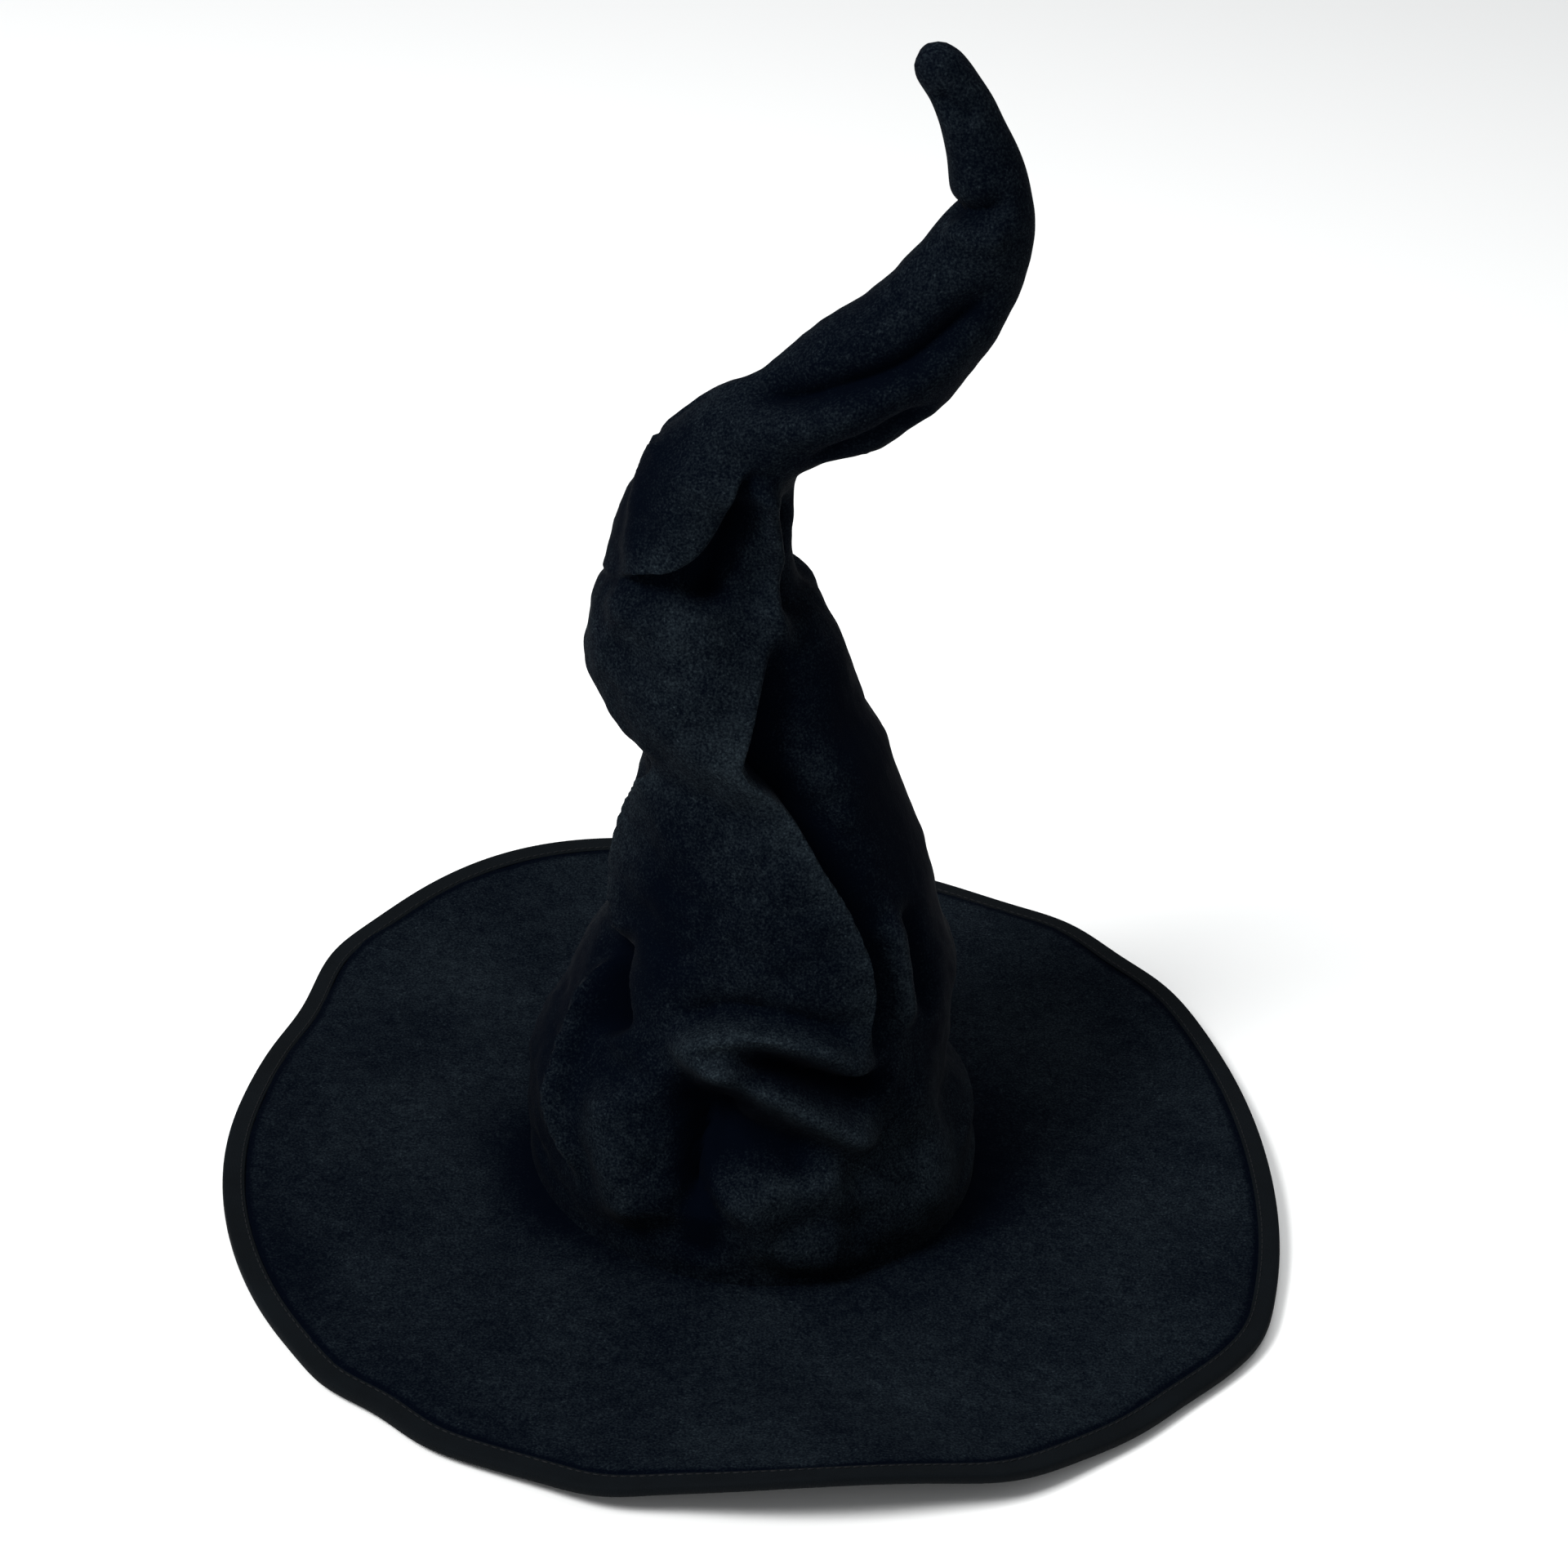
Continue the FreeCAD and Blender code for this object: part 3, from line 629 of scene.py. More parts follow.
def measure_fold(line, directions, ups, radius):
    """For each vertex: distance to the line, which side of it, how far along it, and the way across it."""
    shape = (len(ups), len(directions))
    nearest = np.full(shape, 1e9)
    side = np.zeros(shape)
    share = np.zeros(shape)
    across = np.zeros(shape + (2,))
    steps = np.linalg.norm(np.diff(line * (np.pi / 180 * radius.mean(), 1.0), axis=0), axis=1)
    walked = np.concatenate([[0.0], np.cumsum(steps)])
    per_degree = (np.pi / 180.0 * radius)[:, None]
    for i in range(len(line) - 1):
        a, b = line[i], line[i + 1]
        u = turned(directions[None, :], a[0]) * per_degree
        v = np.broadcast_to((ups - a[1])[:, None], shape)
        bu, bv = (b[0] - a[0]) * per_degree, b[1] - a[1]
        t = np.clip((u * bu + v * bv) / (bu * bu + bv * bv + 1e-9), 0.0, 1.0)
        du, dv = u - t * bu, v - t * bv
        distance = np.hypot(du, dv)
        closer = distance < nearest
        left = bu * v - bv * u
        nearest = np.where(closer, distance, nearest)
        side = np.where(closer, np.sign(left), side)
        share = np.where(closer, (walked[i] + t * (walked[i + 1] - walked[i])) / walked[-1], share)
        gap = distance + 1e-6
        across = np.where(closer[..., None], np.stack([du / gap, dv / gap], axis=-1), across)
    return nearest, side, share, across


def folded_crown(wanted, depth=1.0):
    """The crown's outer surface with its folds, in metres, the centre of each row, and its nap with painted
    light and shade.
    """
    points, around, up, out, radius, centre = crown_grid(wanted)
    directions = np.arange(COLUMNS) * 360.0 / COLUMNS
    rise = np.zeros(points.shape[:2])
    lie = np.full(points.shape[:2], 0.40)
    shift = np.zeros(points.shape)
    # patches of painted light and painted shade over the crown
    for shade_by, direction, wide, up_at, high_by in NAP_AND_PAINTED_LIGHT_PATCHES:
        lie += shade_by * bell(turned(directions, direction) / wide) * bell((wanted[:, None] - up_at) / high_by)
    for kind, height, width, line in FRONT_FOLDS + BACK_FOLDS:
        near, side, share, across = measure_fold(smooth_line(line), directions, wanted, radius)
        ends = soft_step(share / 0.22) * soft_step((1.0 - share) / 0.22)
        if kind != "lap":
            ends = ends * bell(np.clip(near - 2.2 * width, 0, None) / width)
        if kind == "lap":
            signed = near * side
            step = soft_step(signed / width + 0.5)
            high = step * np.exp(-np.clip(signed, 0, None) / 34.0)
            low = (1.0 - step) * bell(signed / (1.9 * width))
            rise += height * ends * (high - 0.45 * low)
            edge = bell((signed - 0.4 * width) / width)
            # painted highlight along the lap's edge, painted shadow on the low side under it
            lie += ends * height * (0.016 * edge - 0.045 * (1.0 - step) * bell(signed / (1.6 * width)))
            reach = np.clip(signed / (0.6 * width), -3.5, 3.5)
            push = reach * np.exp(0.5 * (1.0 - reach**2)) * 0.30 * height * ends
            way = across * side[..., None]
            shift -= push[..., None] * (way[..., :1] * around + way[..., 1:] * up)
        elif kind == "valley":
            rise += height * ends * np.exp(-((near / width) ** 1.5))
            # painted shade along the valley
            lie += 0.034 * height * ends * bell(near / (0.95 * width))
            pull = np.clip(near / width, 0, 3)
            push = pull * np.exp(0.5 * (1.0 - pull**2)) * 0.05 * height * ends
            shift += push[..., None] * (across[..., :1] * around + across[..., 1:] * up)
        else:
            rise += height * ends * bell(near / width)
            # painted highlight along the ridge
            lie += 0.017 * height * ends * bell(near / (0.8 * width))
    ease = soft_step(wanted / 14.0)[:, None] * soft_step((wanted[-1] + 40 - wanted) / 40.0)[:, None]
    taper = np.clip(radius / 45.0, 0.25, 1.0)[:, None]
    rumple = 0.9 * drift(points, 58.0, 11) + 0.5 * drift(points, 26.0, 12) + 0.22 * drift(points, 11.0, 13)
    rumple *= 1.0 - 0.75 * bell(turned(directions, 352.0) / 34.0) * bell((wanted[:, None] - 180.0) / 80.0)
    rise = (rise * depth + rumple * taper * 1.5) * (0.15 + 0.85 * ease)
    moved = points + out * rise[..., None] + shift * depth * ease[..., None]
    # the cloth stays outside the sweatband near the head seam
    flat = moved[..., :2]
    reach = np.linalg.norm(flat, axis=2)
    above = moved[..., 2]
    least = SEAM_REACH - 2.5 * soft_step((above - 12.0) / 8.0) - 20.0 * soft_step((above - 33.0) / 18.0)
    short = (above < 51.0) & (reach < least)
    moved[..., :2] = np.where(short[..., None], flat * (least / np.maximum(reach, 1.0))[..., None], flat)
    moved[0, :, 2] = points[0, :, 2]
    return moved * MM, centre * MM, np.clip(lie, 0.0, 1.0)


# ---------------------------------------------------------------- the brim's shape
EDGE_WAVES = ((280, 17, 21), (120, 11, 24), (38, 4, 13), (190, 5, 18), (4, 5, 20))
EDGE_REACH = (
    (226, 5, 24), (330, 8, 18), (128, 5, 20), (172, -9, 20), (8, -6, 20), (42, 3, 12),
    (227, 1.5, 4), (234, -2, 5), (240, 1.5, 5), (258, 3, 5), (298, 3.5, 7), (321, -3, 7),
    (334, 1.5, 5), (42, -3, 6), (53, 3.5, 6), (150, 3, 6), (162, -3, 7),
)
FLAT_RADIUS, BRIM_RADIUS, EDGE_LIFT, WAVE_POWER = 126.0, 224.0, 3.2, 1.7
TOP_OF_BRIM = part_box("brim_top_cover")[0][2] / MM + 1.2
THINNING = 1.45  # how much thinner the brim is at its edge
STITCH_INSET = 7.2


def bumps(table, degrees):
    total = np.zeros_like(degrees, dtype=float)
    for centre, height, width in table:
        total += height * bell(turned(degrees, centre) / width)
    return total


def edge_radius(degrees):
    return BRIM_RADIUS + bumps(EDGE_REACH, degrees)


def brim_height(degrees, radius):
    """Height of the brim's underside in millimetres."""
    share = np.clip((radius - FLAT_RADIUS) / (edge_radius(degrees) - FLAT_RADIUS), 0.0, None)
    return (EDGE_LIFT + bumps(EDGE_WAVES, degrees)) * share**WAVE_POWER


def brim_ring(degrees, radius, above):
    turn = np.radians(degrees)
    height = brim_height(degrees, radius) + above
    return np.stack([radius * np.cos(turn), radius * np.sin(turn), height], axis=-1)


def pucker(degrees, radius):
    """Small gathers of the cloth beside the binding's stitches."""
    inside = edge_radius(degrees) - radius
    near = bell((inside - 12.0) / 6.0)
    turn = np.radians(degrees)
    waves = np.sin(turn * 97.0 + 2.0 * np.sin(turn * 7.0)) * 0.6 + np.sin(turn * 151.0 + 1.3) * 0.4
    return near * waves


# ---------------------------------------------------------------- making the pieces
def crown_rows():
    length = spine_lengths()[0][-1]
    lower = np.linspace(0.0, SPLIT, int(round(SPLIT / ROW)) + 1)
    upper = np.linspace(SPLIT, length, int(round((length - SPLIT) / ROW)) + 1)
    return lower, upper


class HAT_OT_crown(bpy.types.Operator):
    """Make the folded velour of the crown, the tail and the tip"""

    bl_idname = "witch_hat.crown"
    bl_label = "Crown and Tail"

    def execute(self, context):
        lower, upper = crown_rows()
        skin, _, lie = folded_crown(np.concatenate([lower, upper[1:]]), sizes().fold_depth)
        velour = velour_material("crown_velour_cloth", 0.42)
        crown = sheet_mesh("crown_velour", skin[: len(lower)])
        tail = sheet_mesh("tail_velour", skin[len(lower) - 1 :], cap_end=True)
        lay_nap_and_painted_light(crown, lie[: len(lower)])
        lay_nap_and_painted_light(tail, lie[len(lower) - 1 :])
        for piece in (crown, tail):
            thicken(piece, sizes().cloth)
            dress(piece, velour, None)
        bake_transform(crown)
        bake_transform(tail)
        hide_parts("crown_base_cover", "crown_cover")
        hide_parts("tail_cover", "tip_cover")
        return {"FINISHED"}


def narrowest(reach, rows, columns):
    """The least reach within that many rows and columns of each place."""
    least = reach.copy()
    for step in range(1, columns + 1):
        least = np.minimum(least, np.minimum(np.roll(reach, step, axis=1), np.roll(reach, -step, axis=1)))
    tall = np.pad(least, ((rows, rows), (0, 0)), mode="edge")
    return np.min([tall[i : i + len(reach)] for i in range(2 * rows + 1)], axis=0)


class HAT_OT_lining(bpy.types.Operator):
    """Make the lining inside the crown"""

    bl_idname = "witch_hat.lining"
    bl_label = "Crown Lining"

    def execute(self, context):
        wanted = np.linspace(9.0, 196.0, 76)
        skin, centre, _ = folded_crown(wanted, sizes().fold_depth)
        inward = skin - centre
        inward[..., 2] = 0.0
        reach = np.linalg.norm(inward, axis=2, keepdims=True)
        inner = narrowest(reach[..., 0], 6, 4)
        turn = np.radians(np.arange(COLUMNS) * 360.0 / COLUMNS)
        height = (wanted / wanted[-1])[:, None]
        top = np.sqrt(np.clip(1.0 - np.clip((height - 0.72) / 0.30, 0, 1) ** 2, 0.02, 1.0))
        slack = 0.9 * np.sin(turn * 9 + 4 * height) + 0.6 * np.sin(turn * 17 - 7 * height)
        loose = soft_step((wanted[:, None] - 26.0) / 30.0)
        gap = 3.4 + 4.0 * soft_step((wanted[:, None] - 34.0) / 40.0) + slack * loose
        room = (inner / MM - gap) * np.where(height > 0.72, top, 1.0)
        room = np.where(wanted[:, None] < 30.0, np.clip(room, 90.6, 91.0), room)
        points = centre + inward / reach * (room * MM)[..., None]
        points[..., 2] = (0.010 + (wanted - 9.0) * MM)[:, None]
        points[-12:, :, 2] -= (soft_step(np.linspace(0, 1, 12)) * 0.006)[:, None]
        lining = sheet_mesh("crown_lining_cloth", points, cap_end=True)
        thicken(lining, LIGHT_PLY)
        dress(lining, satin_material("lining_satin", tuple(colours().lining)), "hat")
        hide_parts("crown_lining")
        return {"FINISHED"}


def brim_nap_and_painted_shade(degrees, top):
    """The brim's nap and painted shade: darker beside the crown and along the binding's ditch."""
    reach = np.linalg.norm(top[..., :2], axis=2)
    lie = np.full(reach.shape, 0.46)
    # darker beside the crown: painted shade, partly crushed nap
    for shade_by, direction, wide, width in ((-0.46, 352, 36, 23), (-0.42, 205, 28, 17), (-0.10, 270, 40, 8)):
        lie += shade_by * bell(turned(degrees, direction) / wide) * bell((reach - 92.0) / width)
    inside = edge_radius(degrees) - reach
    # painted shade in the ditch beside the binding
    lie -= 0.34 * bell((inside - 9.4) / 1.6)
    # darker inside the edge towards the front left
    lie -= 0.13 * bell(turned(degrees, 215.0) / 40.0) * bell((inside - 18.0) / 13.0)
    return np.clip(lie, 0.0, 1.0)


class HAT_OT_brim(bpy.types.Operator):
    """Make the brim's velour and its under cloth"""

    bl_idname = "witch_hat.brim"
    bl_label = "Brim Covers"

    def execute(self, context):
        degrees = np.arange(288) * 360.0 / 288
        edge = edge_radius(degrees)
        flat_rows = np.concatenate([[89.9, 90.6, 91.6, 93.0], np.linspace(95.0, 118.0, 9), [122.0]])
        shares = np.concatenate([np.linspace(0.0, 0.86, 26), np.linspace(0.88, 1.0, 10)])
        rows = [np.full_like(edge, radius) for radius in flat_rows]
        rows += [FLAT_RADIUS + share * (edge - 0.6 - FLAT_RADIUS) for share in shares]
        top, under = [], []
        for radius in rows:
            thin = soft_step((radius - (edge - 16.0)) / 15.0)
            dip = np.clip(92.6 - radius, 0.0, None) ** 2 * 0.10
            top.append(brim_ring(degrees, radius, TOP_OF_BRIM - THINNING * thin - dip))
            if radius[0] >= 91.0:
                under.append(brim_ring(degrees, radius, 0.25 * thin))
        top, under = np.array(top), np.array(under)
        reach = np.linalg.norm(top[..., :2], axis=2)
        calm = soft_step((reach - 95.0) / 30.0) * soft_step((edge - reach) / 12.0)
        ripple = 0.55 * drift(top, 62.0, 21) + 0.22 * drift(top, 24.0, 22)
        top[..., 2] += calm * ripple + 0.22 * pucker(degrees, reach)
        pulls = np.sin(np.radians(degrees) * 41.0 + 1.7 * np.sin(np.radians(degrees) * 5.0))
        top[..., 2] += 0.25 * pulls * bell((reach - 101.0) / 8.0)
        reach = np.linalg.norm(under[..., :2], axis=2)
        sag = soft_step((reach - 128.0) / 40.0) * soft_step((edge - reach) / 12.0)
        under[..., 2] += sag * (0.35 * drift(under, 55.0, 23) + 0.35) + 0.15 * np.abs(pucker(degrees, reach))
        brim = sheet_mesh("brim_velour", top[::-1] * MM)
        lay_nap_and_painted_light(brim, brim_nap_and_painted_shade(degrees, top)[::-1])
        lower = sheet_mesh("brim_under_cloth", under * MM)
        thicken(brim, sizes().cloth)
        thicken(lower, THIN_PLY)
        dress(brim, velour_material("brim_velour_cloth", 0.36), "hat")
        plain = woven_material("under_cloth_weave", (0.0052, 0.0058, 0.0074), 0.0006, sheen=0.02, gloss=0.07)
        dress(lower, plain, "hat")
        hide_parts("brim_top_cover")
        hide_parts("brim_under_cover")
        return {"FINISHED"}


def binding_section(degrees):
    """The binding's outer surface as rings, from its lower inner edge round to its upper one."""
    edge = edge_radius(degrees)
    width = sizes().binding / MM
    high, low = TOP_OF_BRIM - THINNING, 0.25
    middle, half = (high + low) / 2.0, (high - low) / 2.0 + 0.75
    turn = np.radians(degrees)
    gathers = 0.12 * np.sin(turn * 212.0 + np.sin(turn * 13.0))
    gathers = gathers + 0.16 * drift(brim_ring(degrees, edge, 0.0), 17.0, 31)
    face = (
        (width, 0.15), (width - 0.25, 0.62), (width - 1.0, 0.72), (width - 2.4, 0.86), (4.2, 0.95), (2.6, 1.0),
    )
    rings = []
    for inset, lift in face:
        rise = TOP_OF_BRIM - THINNING * soft_step((16.0 - inset) / 15.0) + 0.75 * lift
        wave = gathers * math.sin(math.pi * min(1.0, inset / width))
        rings.append(brim_ring(degrees, edge - inset, rise + wave))
    for i in range(1, 12):
        angle = math.pi / 2.0 - math.pi * i / 12.0
        out = 1.3 * math.cos(angle) ** 0.8
        rings.append(brim_ring(degrees, edge - 0.9 + out, middle + half * math.sin(angle)))
    for inset, lift in reversed(face):
        wave = gathers * math.sin(math.pi * min(1.0, inset / width))
        rings.append(brim_ring(degrees, edge - inset, low * (1.0 if inset < 6 else 0.9) - 0.75 * lift - wave))
    return np.array(rings[::-1])


def stitch_shape(length):
    """One stitch at the origin along X, from a cylinder pulled thin at both ends."""
    bpy.ops.mesh.primitive_cylinder_add(vertices=6, radius=0.00032, depth=length, end_fill_type="NGON")
    stitch = bpy.context.active_object
    pick(stitch)
    bpy.ops.object.mode_set(mode="EDIT")
    bpy.ops.mesh.select_all(action="DESELECT")
    bpy.ops.mesh.select_mode(type="FACE")
    for sign in (1.0, -1.0):
        mesh = bpy.context.edit_object.data
        bpy.ops.object.mode_set(mode="OBJECT")
        for face in mesh.polygons:
            face.select = face.normal.z * sign > 0.9 and face.center.z * sign > 0.0
        bpy.ops.object.mode_set(mode="EDIT")
        bpy.ops.mesh.extrude_region_move(TRANSFORM_OT_translate={"value": (-0.00022, 0.0, sign * 0.00030)})
        bpy.ops.transform.resize(value=(0.45, 0.45, 1.0))
        bpy.ops.mesh.select_all(action="DESELECT")
    bpy.ops.object.mode_set(mode="OBJECT")
    corners = np.array([v.co[:] for v in stitch.data.vertices])
    faces = [tuple(f.vertices) for f in stitch.data.polygons]
    bpy.data.objects.remove(stitch, do_unlink=True)
    return corners[:, [2, 1, 0]] * (1.0, -1.0, 1.0), faces


def stitch_line(name, places, length):
    """Stitches along places, each (point, way along, way out of the cloth), as one mesh."""
    corners, faces = stitch_shape(length)
    all_corners, all_faces = [], []
    for point, along, out in places:
        along, out = np.array(along), np.array(out)
        along = along / np.linalg.norm(along)
        out = out - along * (out @ along)
        out /= np.linalg.norm(out)
        side = np.cross(out, along)
        start = len(all_corners) * len(corners)
        all_corners.append(np.array(point) + corners @ np.stack([along, side, out]))
        all_faces += [tuple(v + start for v in face) for face in faces]
    mesh = bpy.data.meshes.new(name)
    mesh.from_pydata(np.vstack(all_corners).tolist(), [], all_faces)
    mesh.update()
    piece = bpy.data.objects.new(name, mesh)
    bpy.context.scene.collection.objects.link(piece)
    pick(piece)
    bpy.ops.object.mode_set(mode="EDIT")
    bpy.ops.mesh.select_all(action="SELECT")
    bpy.ops.mesh.normals_make_consistent(inside=False)
    bpy.ops.object.mode_set(mode="OBJECT")
    bpy.ops.object.shade_smooth_by_angle(angle=math.radians(60.0))
    return piece


def thread_material(name, base):
    r = Recipe(name)
    twist = r.noise(r.object_place(), 1600.0, 2.0, 0.6)
    colour = r.blend_colour(twist, shade(base, 0.6), shade(base, 1.5))
    return r.surface({"Base Color": colour, "Roughness": 0.5 + 0.2 * twist, "Specular IOR Level": 0.08})


class HAT_OT_binding(bpy.types.Operator):
    """Make the binding folded round the brim's edge, and its two lines of stitches"""

    bl_idname = "witch_hat.binding"
    bl_label = "Edge Binding"

    def execute(self, context):
        degrees = np.arange(480) * 0.75
        rings = binding_section(degrees)
        binding = sheet_mesh("brim_binding_tape", rings * MM)
        thicken(binding, LIGHT_PLY)
        tape = woven_material("binding_weave", tuple(colours().binding), 0.00045, sheen=0.006, gloss=0.03)
        dress(binding, tape, "hat")
        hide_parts("brim_edge_binding")
        thread = thread_material("binding_thread", tuple(colours().thread))
        pitch = sizes().stitch / MM
        count = int(2.0 * math.pi * (BRIM_RADIUS - STITCH_INSET) / pitch)
        at = np.arange(count) * 360.0 / count
        for name, above, out in (
            ("binding_stitches_top", TOP_OF_BRIM - 0.25, 1.0),
            ("binding_stitches_under", -0.62, -1.0),
        ):
            here = brim_ring(at, edge_radius(at) - STITCH_INSET, above)
            ahead = brim_ring(at + 0.3, edge_radius(at + 0.3) - STITCH_INSET, above)
            inner = brim_ring(at, edge_radius(at) - STITCH_INSET - 2.0, above)
            along = ahead - here
            normal = np.cross(inner - here, along)
            normal *= np.sign(normal[:, 2:3]) * out
            places = list(zip(here * MM, along, normal))
            line = stitch_line(name, places, sizes().stitch * 0.62)
            dress(line, thread, "hat")
        return {"FINISHED"}


class HAT_OT_sweatband(bpy.types.Operator):
    """Make the ribbon round the head opening, with its stitches"""

    bl_idname = "witch_hat.sweatband"
    bl_label = "Sweatband"

    def execute(self, context):
        degrees = np.arange(240) * 1.5
        turn = np.radians(degrees)
        rows = []
        for share in np.linspace(0.0, 1.0, 16):
            wave = 0.18 * np.sin(turn * 23.0 + 5.0 * share) * share + 0.10 * np.sin(turn * 57.0) * share**2
            radius = 89.75 - 0.12 * np.abs(wave)
            radius -= 0.25 * bell((degrees - 92.0) / 2.0)
            height = 0.25 + 29.3 * share + 0.25 * np.sin(turn * 11.0) * share
            rows.append(np.stack([radius * np.cos(turn), radius * np.sin(turn), height], axis=-1))
        rows = np.array(rows)
        band = sheet_mesh("sweatband_ribbon", rows * MM)
        thicken(band, THIN_PLY)
        dress(band, ribbed_material("sweatband_grosgrain", (0.0090, 0.0090, 0.0105), 0.0011), "hat")
        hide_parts("sweatband")
        places = []
        for a in np.radians(np.arange(150) * 2.4):
            out = np.array((-math.cos(a), -math.sin(a), 0.0))
            places.append((out * -0.089 + (0.0, 0.0, 0.003), (-math.sin(a), math.cos(a), 0.0), out))
        line = stitch_line("sweatband_stitches", places, 0.0024)
        dress(line, thread_material("sweatband_thread", tuple(colours().thread)), "hat")
        return {"FINISHED"}


class HAT_OT_stuffing(bpy.types.Operator):
    """Make the fibre fill of the tail and the tip, inside the folds of the cloth"""

    bl_idname = "witch_hat.stuffing"
    bl_label = "Stuffing"

    def execute(self, context):
        fibre = fibre_material("polyester_fill", (0.72, 0.72, 0.70))
        for name, low, high, body, node in (
            ("tail_fill", 322.0, 442.0, "tail", "tail_stuffing"),
            ("tip_fill", 500.0, 532.0, "tip", "tip_stuffing"),
        ):
            wanted = np.linspace(low, high, int((high - low) / 3.0))
            skin, centre, _ = folded_crown(wanted, sizes().fold_depth)
            inward = skin - centre
            reach = np.linalg.norm(inward, axis=2, keepdims=True)
            ends = np.sin(np.linspace(0.04, math.pi - 0.04, len(wanted))) ** 0.4
            room = np.maximum(reach - 0.0045, 0.002) * ends[:, None, None] * 0.94
            points = centre + inward / reach * room
            fill = sheet_mesh(name, points[:, ::4], cap_end=True)
            pick(fill)
            bpy.ops.object.mode_set(mode="EDIT")
            bpy.ops.mesh.select_all(action="DESELECT")
            bpy.ops.mesh.select_mode(type="EDGE")
            bpy.ops.mesh.select_non_manifold()
            bpy.ops.mesh.edge_face_add()
            bpy.ops.mesh.select_all(action="SELECT")
            bpy.ops.mesh.normals_make_consistent(inside=False)
            bpy.ops.object.mode_set(mode="OBJECT")
            bpy.ops.object.shade_smooth_by_angle(angle=math.radians(60.0))
            dress(fill, fibre, body)
            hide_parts(node)
        return {"FINISHED"}


class HAT_OT_fittings(bpy.types.Operator):
    """Give the wires, the tapes and the interlining their materials"""

    bl_idname = "witch_hat.fittings"
    bl_label = "Wires and Tapes"

    def execute(self, context):
        steel = metal_material("annealed_steel_wire", (0.42, 0.42, 0.44), 0.35)
        metal = metal_material("pressed_aluminium", (0.75, 0.75, 0.76), 0.3)
        felt = fibre_material("non_woven_interlining", (0.050, 0.050, 0.054))
        tape = fibre_material("cotton_tape", (0.018, 0.018, 0.021))
        kept = {
            "brim_edge_wire": steel,
            "crown_wire": steel,
            "tail_wire": steel,
            "tip_wire": steel,
            "brim_wire_joiner": metal,
            "brim_interlining": felt,
            "wire_foot_patch": felt,
            "head_seam_tape": tape,
            "wire_casing": tape,
            "tip_wire_wrap": tape,
        }
        for name, material in kept.items():
            node = frame["nodes"][name]
            node.data.materials.clear()
            node.data.materials.append(material)
        return {"FINISHED"}


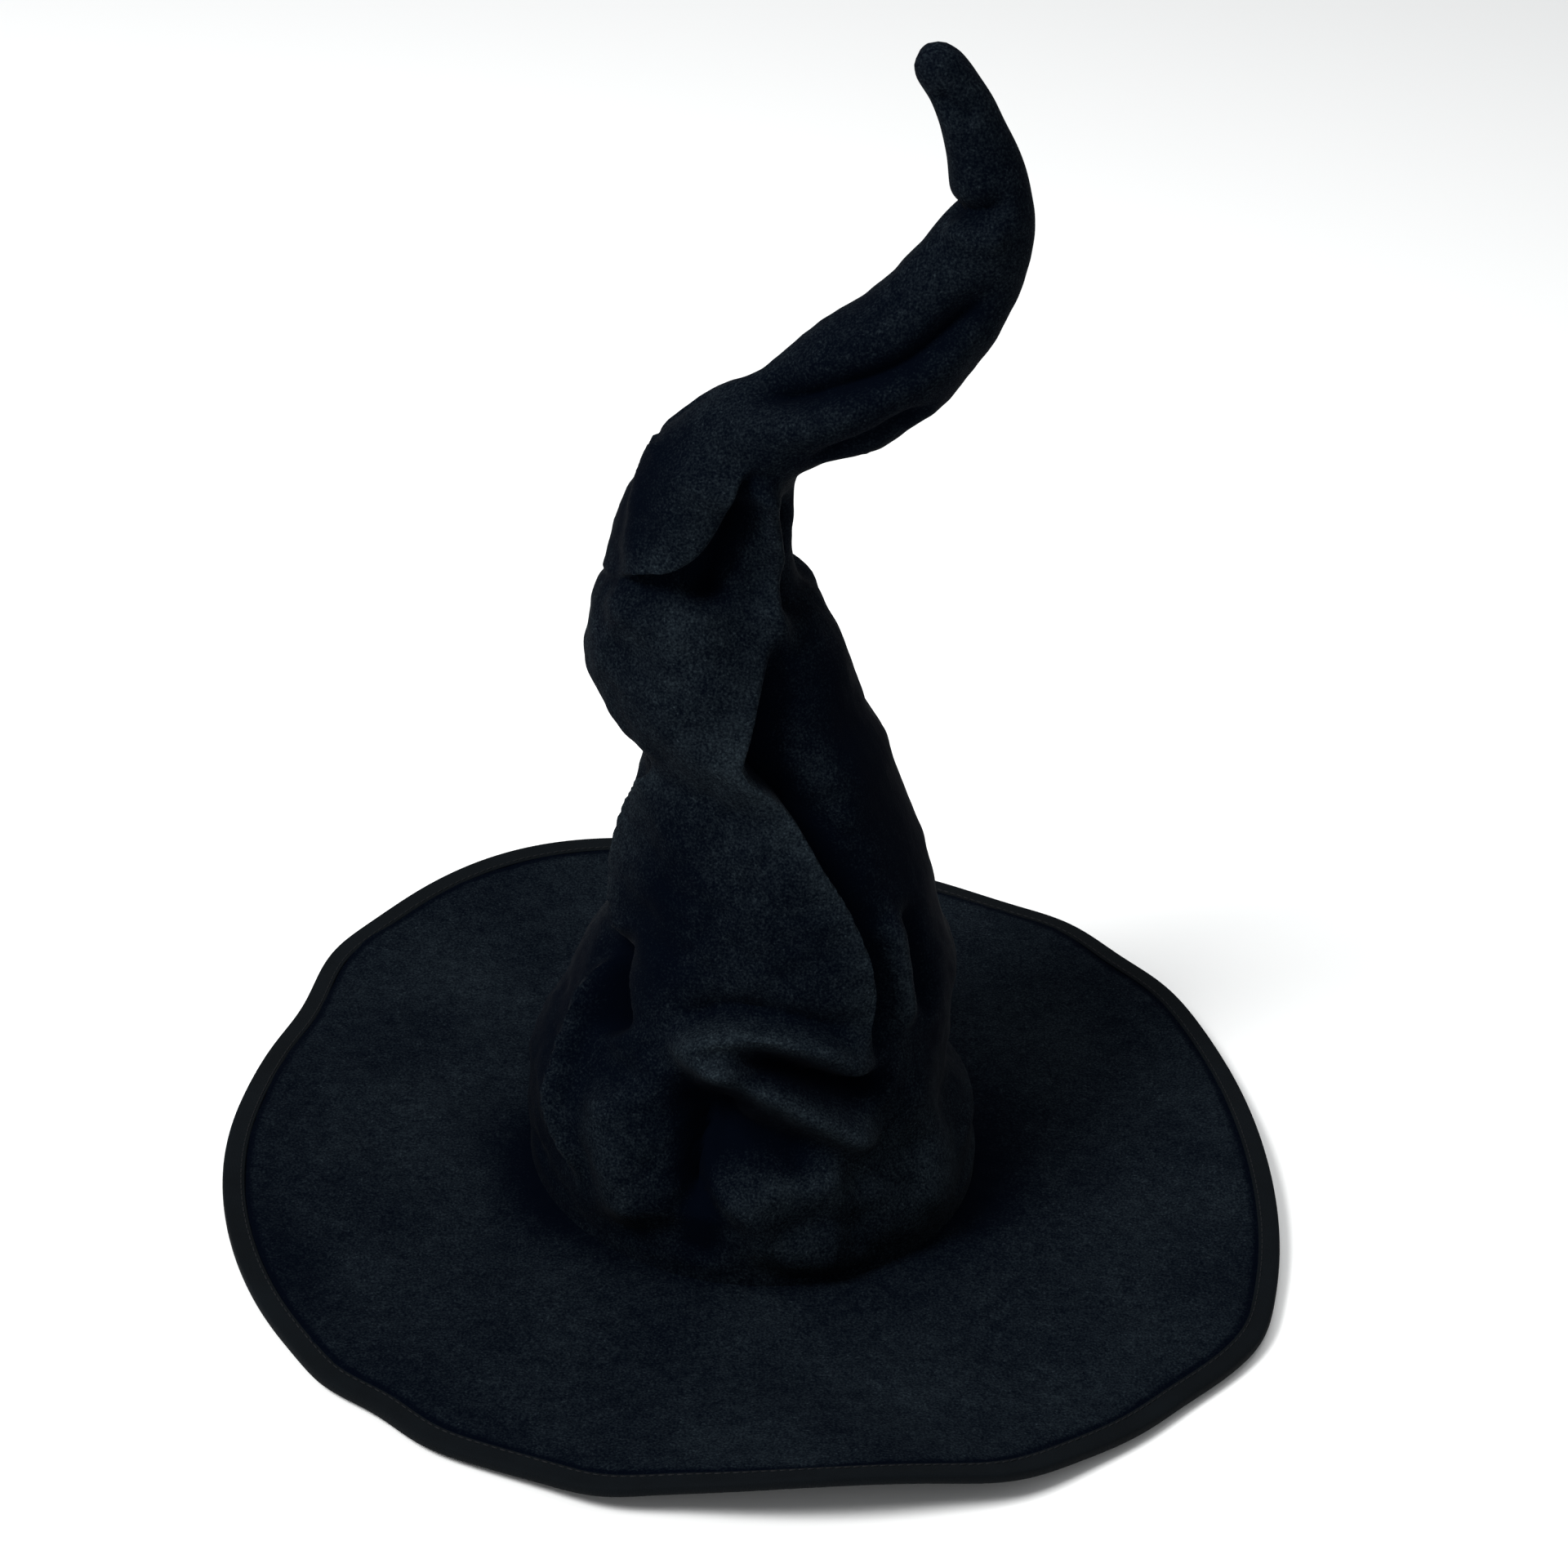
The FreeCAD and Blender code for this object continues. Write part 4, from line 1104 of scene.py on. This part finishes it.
class HAT_OT_stage(bpy.types.Operator):
    """Make the floor, the studio light and the camera"""

    bl_idname = "witch_hat.stage"
    bl_label = "Stage"

    def execute(self, context):
        scene = context.scene
        bpy.ops.mesh.primitive_plane_add(size=14.0, location=(0.0, 0.0, 0.0))
        floor = context.active_object
        floor.name = "studio_floor"
        r = Recipe("floor_paper")
        c = tuple(colours().floor)
        tone = r.noise(r.object_place(), 3.0, 2.0)
        paper = r.blend_colour(tone, shade(c, 0.995), c)
        values = {"Base Color": paper, "Roughness": 0.9, "Specular IOR Level": 0.1}
        floor.data.materials.append(r.surface(values))
        world = bpy.data.worlds.new("studio")
        world.use_nodes = True
        scene.world = world
        world.node_tree.nodes["Background"].inputs["Color"].default_value = (0.97, 0.985, 1.0, 1.0)
        world.node_tree.nodes["Background"].inputs["Strength"].default_value = 0.45
        scene.view_settings.view_transform = "Standard"
        for name, place, aim, size, power in (
            ("key_light", (-1.5, -1.1, 2.3), (0.0, 0.0, 0.15), 0.9, 98.0),
            ("top_light", (0.2, 0.3, 2.6), (0.0, 0.0, 0.1), 1.8, 26.0),
        ):
            light = bpy.data.lights.new(name, "AREA")
            light.size, light.energy = size, power
            lamp = bpy.data.objects.new(name, light)
            scene.collection.objects.link(lamp)
            lamp.location = place
            lamp.rotation_euler = (Vector(aim) - Vector(place)).to_track_quat("-Z", "Y").to_euler()
        rise, roll, away = math.radians(31.5), math.radians(4.27), 1.3
        back = Vector((0.0, -math.cos(rise), math.sin(rise)))
        level, up = Vector((1.0, 0.0, 0.0)), Vector((0.0, math.sin(rise), math.cos(rise)))
        right = level * math.cos(roll) + up * math.sin(roll)
        over = up * math.cos(roll) - level * math.sin(roll)
        seat = Vector((0.002, 0.0, 0.1838)) + back * away
        data = bpy.data.cameras.new("camera")
        data.sensor_width, data.lens, data.clip_end = 36.0, 75.2, 50.0
        camera = bpy.data.objects.new("camera", data)
        scene.collection.objects.link(camera)
        camera.matrix_world = Matrix(
            (
                (right.x, over.x, back.x, seat.x),
                (right.y, over.y, back.y, seat.y),
                (right.z, over.z, back.z, seat.z),
                (0.0, 0.0, 0.0, 1.0),
            )
        )
        scene.camera = camera
        return {"FINISHED"}


class HAT_PT_panel(bpy.types.Panel):
    """Sizes, colours and the hat's pieces in the sidebar"""

    bl_idname = "HAT_PT_panel"
    bl_label = "Witch Hat"
    bl_space_type = "VIEW_3D"
    bl_region_type = "UI"
    bl_category = "Witch Hat"

    def draw(self, context):
        column = self.layout.column()
        for group, names in (
            (sizes(), HatSizes.__annotations__),
            (colours(), HatColours.__annotations__),
        ):
            for name in names:
                column.prop(group, name)
        for operator in OPERATORS:
            column.operator(operator.bl_idname)


OPERATORS = (
    HAT_OT_stage,
    HAT_OT_crown,
    HAT_OT_lining,
    HAT_OT_brim,
    HAT_OT_binding,
    HAT_OT_sweatband,
    HAT_OT_stuffing,
    HAT_OT_fittings,
)
CLASSES = (HatSizes, HatColours, HAT_PT_panel) + OPERATORS


def register():
    for cls in CLASSES:
        bpy.utils.register_class(cls)
    bpy.types.Scene.witch_hat_sizes = bpy.props.PointerProperty(type=HatSizes)
    bpy.types.Scene.witch_hat_colours = bpy.props.PointerProperty(type=HatColours)


def unregister():
    del bpy.types.Scene.witch_hat_sizes
    del bpy.types.Scene.witch_hat_colours
    for cls in reversed(CLASSES):
        bpy.utils.unregister_class(cls)


def main():
    register()
    bpy.ops.witch_hat.stage()
    bpy.ops.witch_hat.crown()
    bpy.ops.witch_hat.lining()
    bpy.ops.witch_hat.brim()
    bpy.ops.witch_hat.binding()
    bpy.ops.witch_hat.sweatband()
    bpy.ops.witch_hat.stuffing()
    bpy.ops.witch_hat.fittings()


if __name__ == "__main__":
    main()
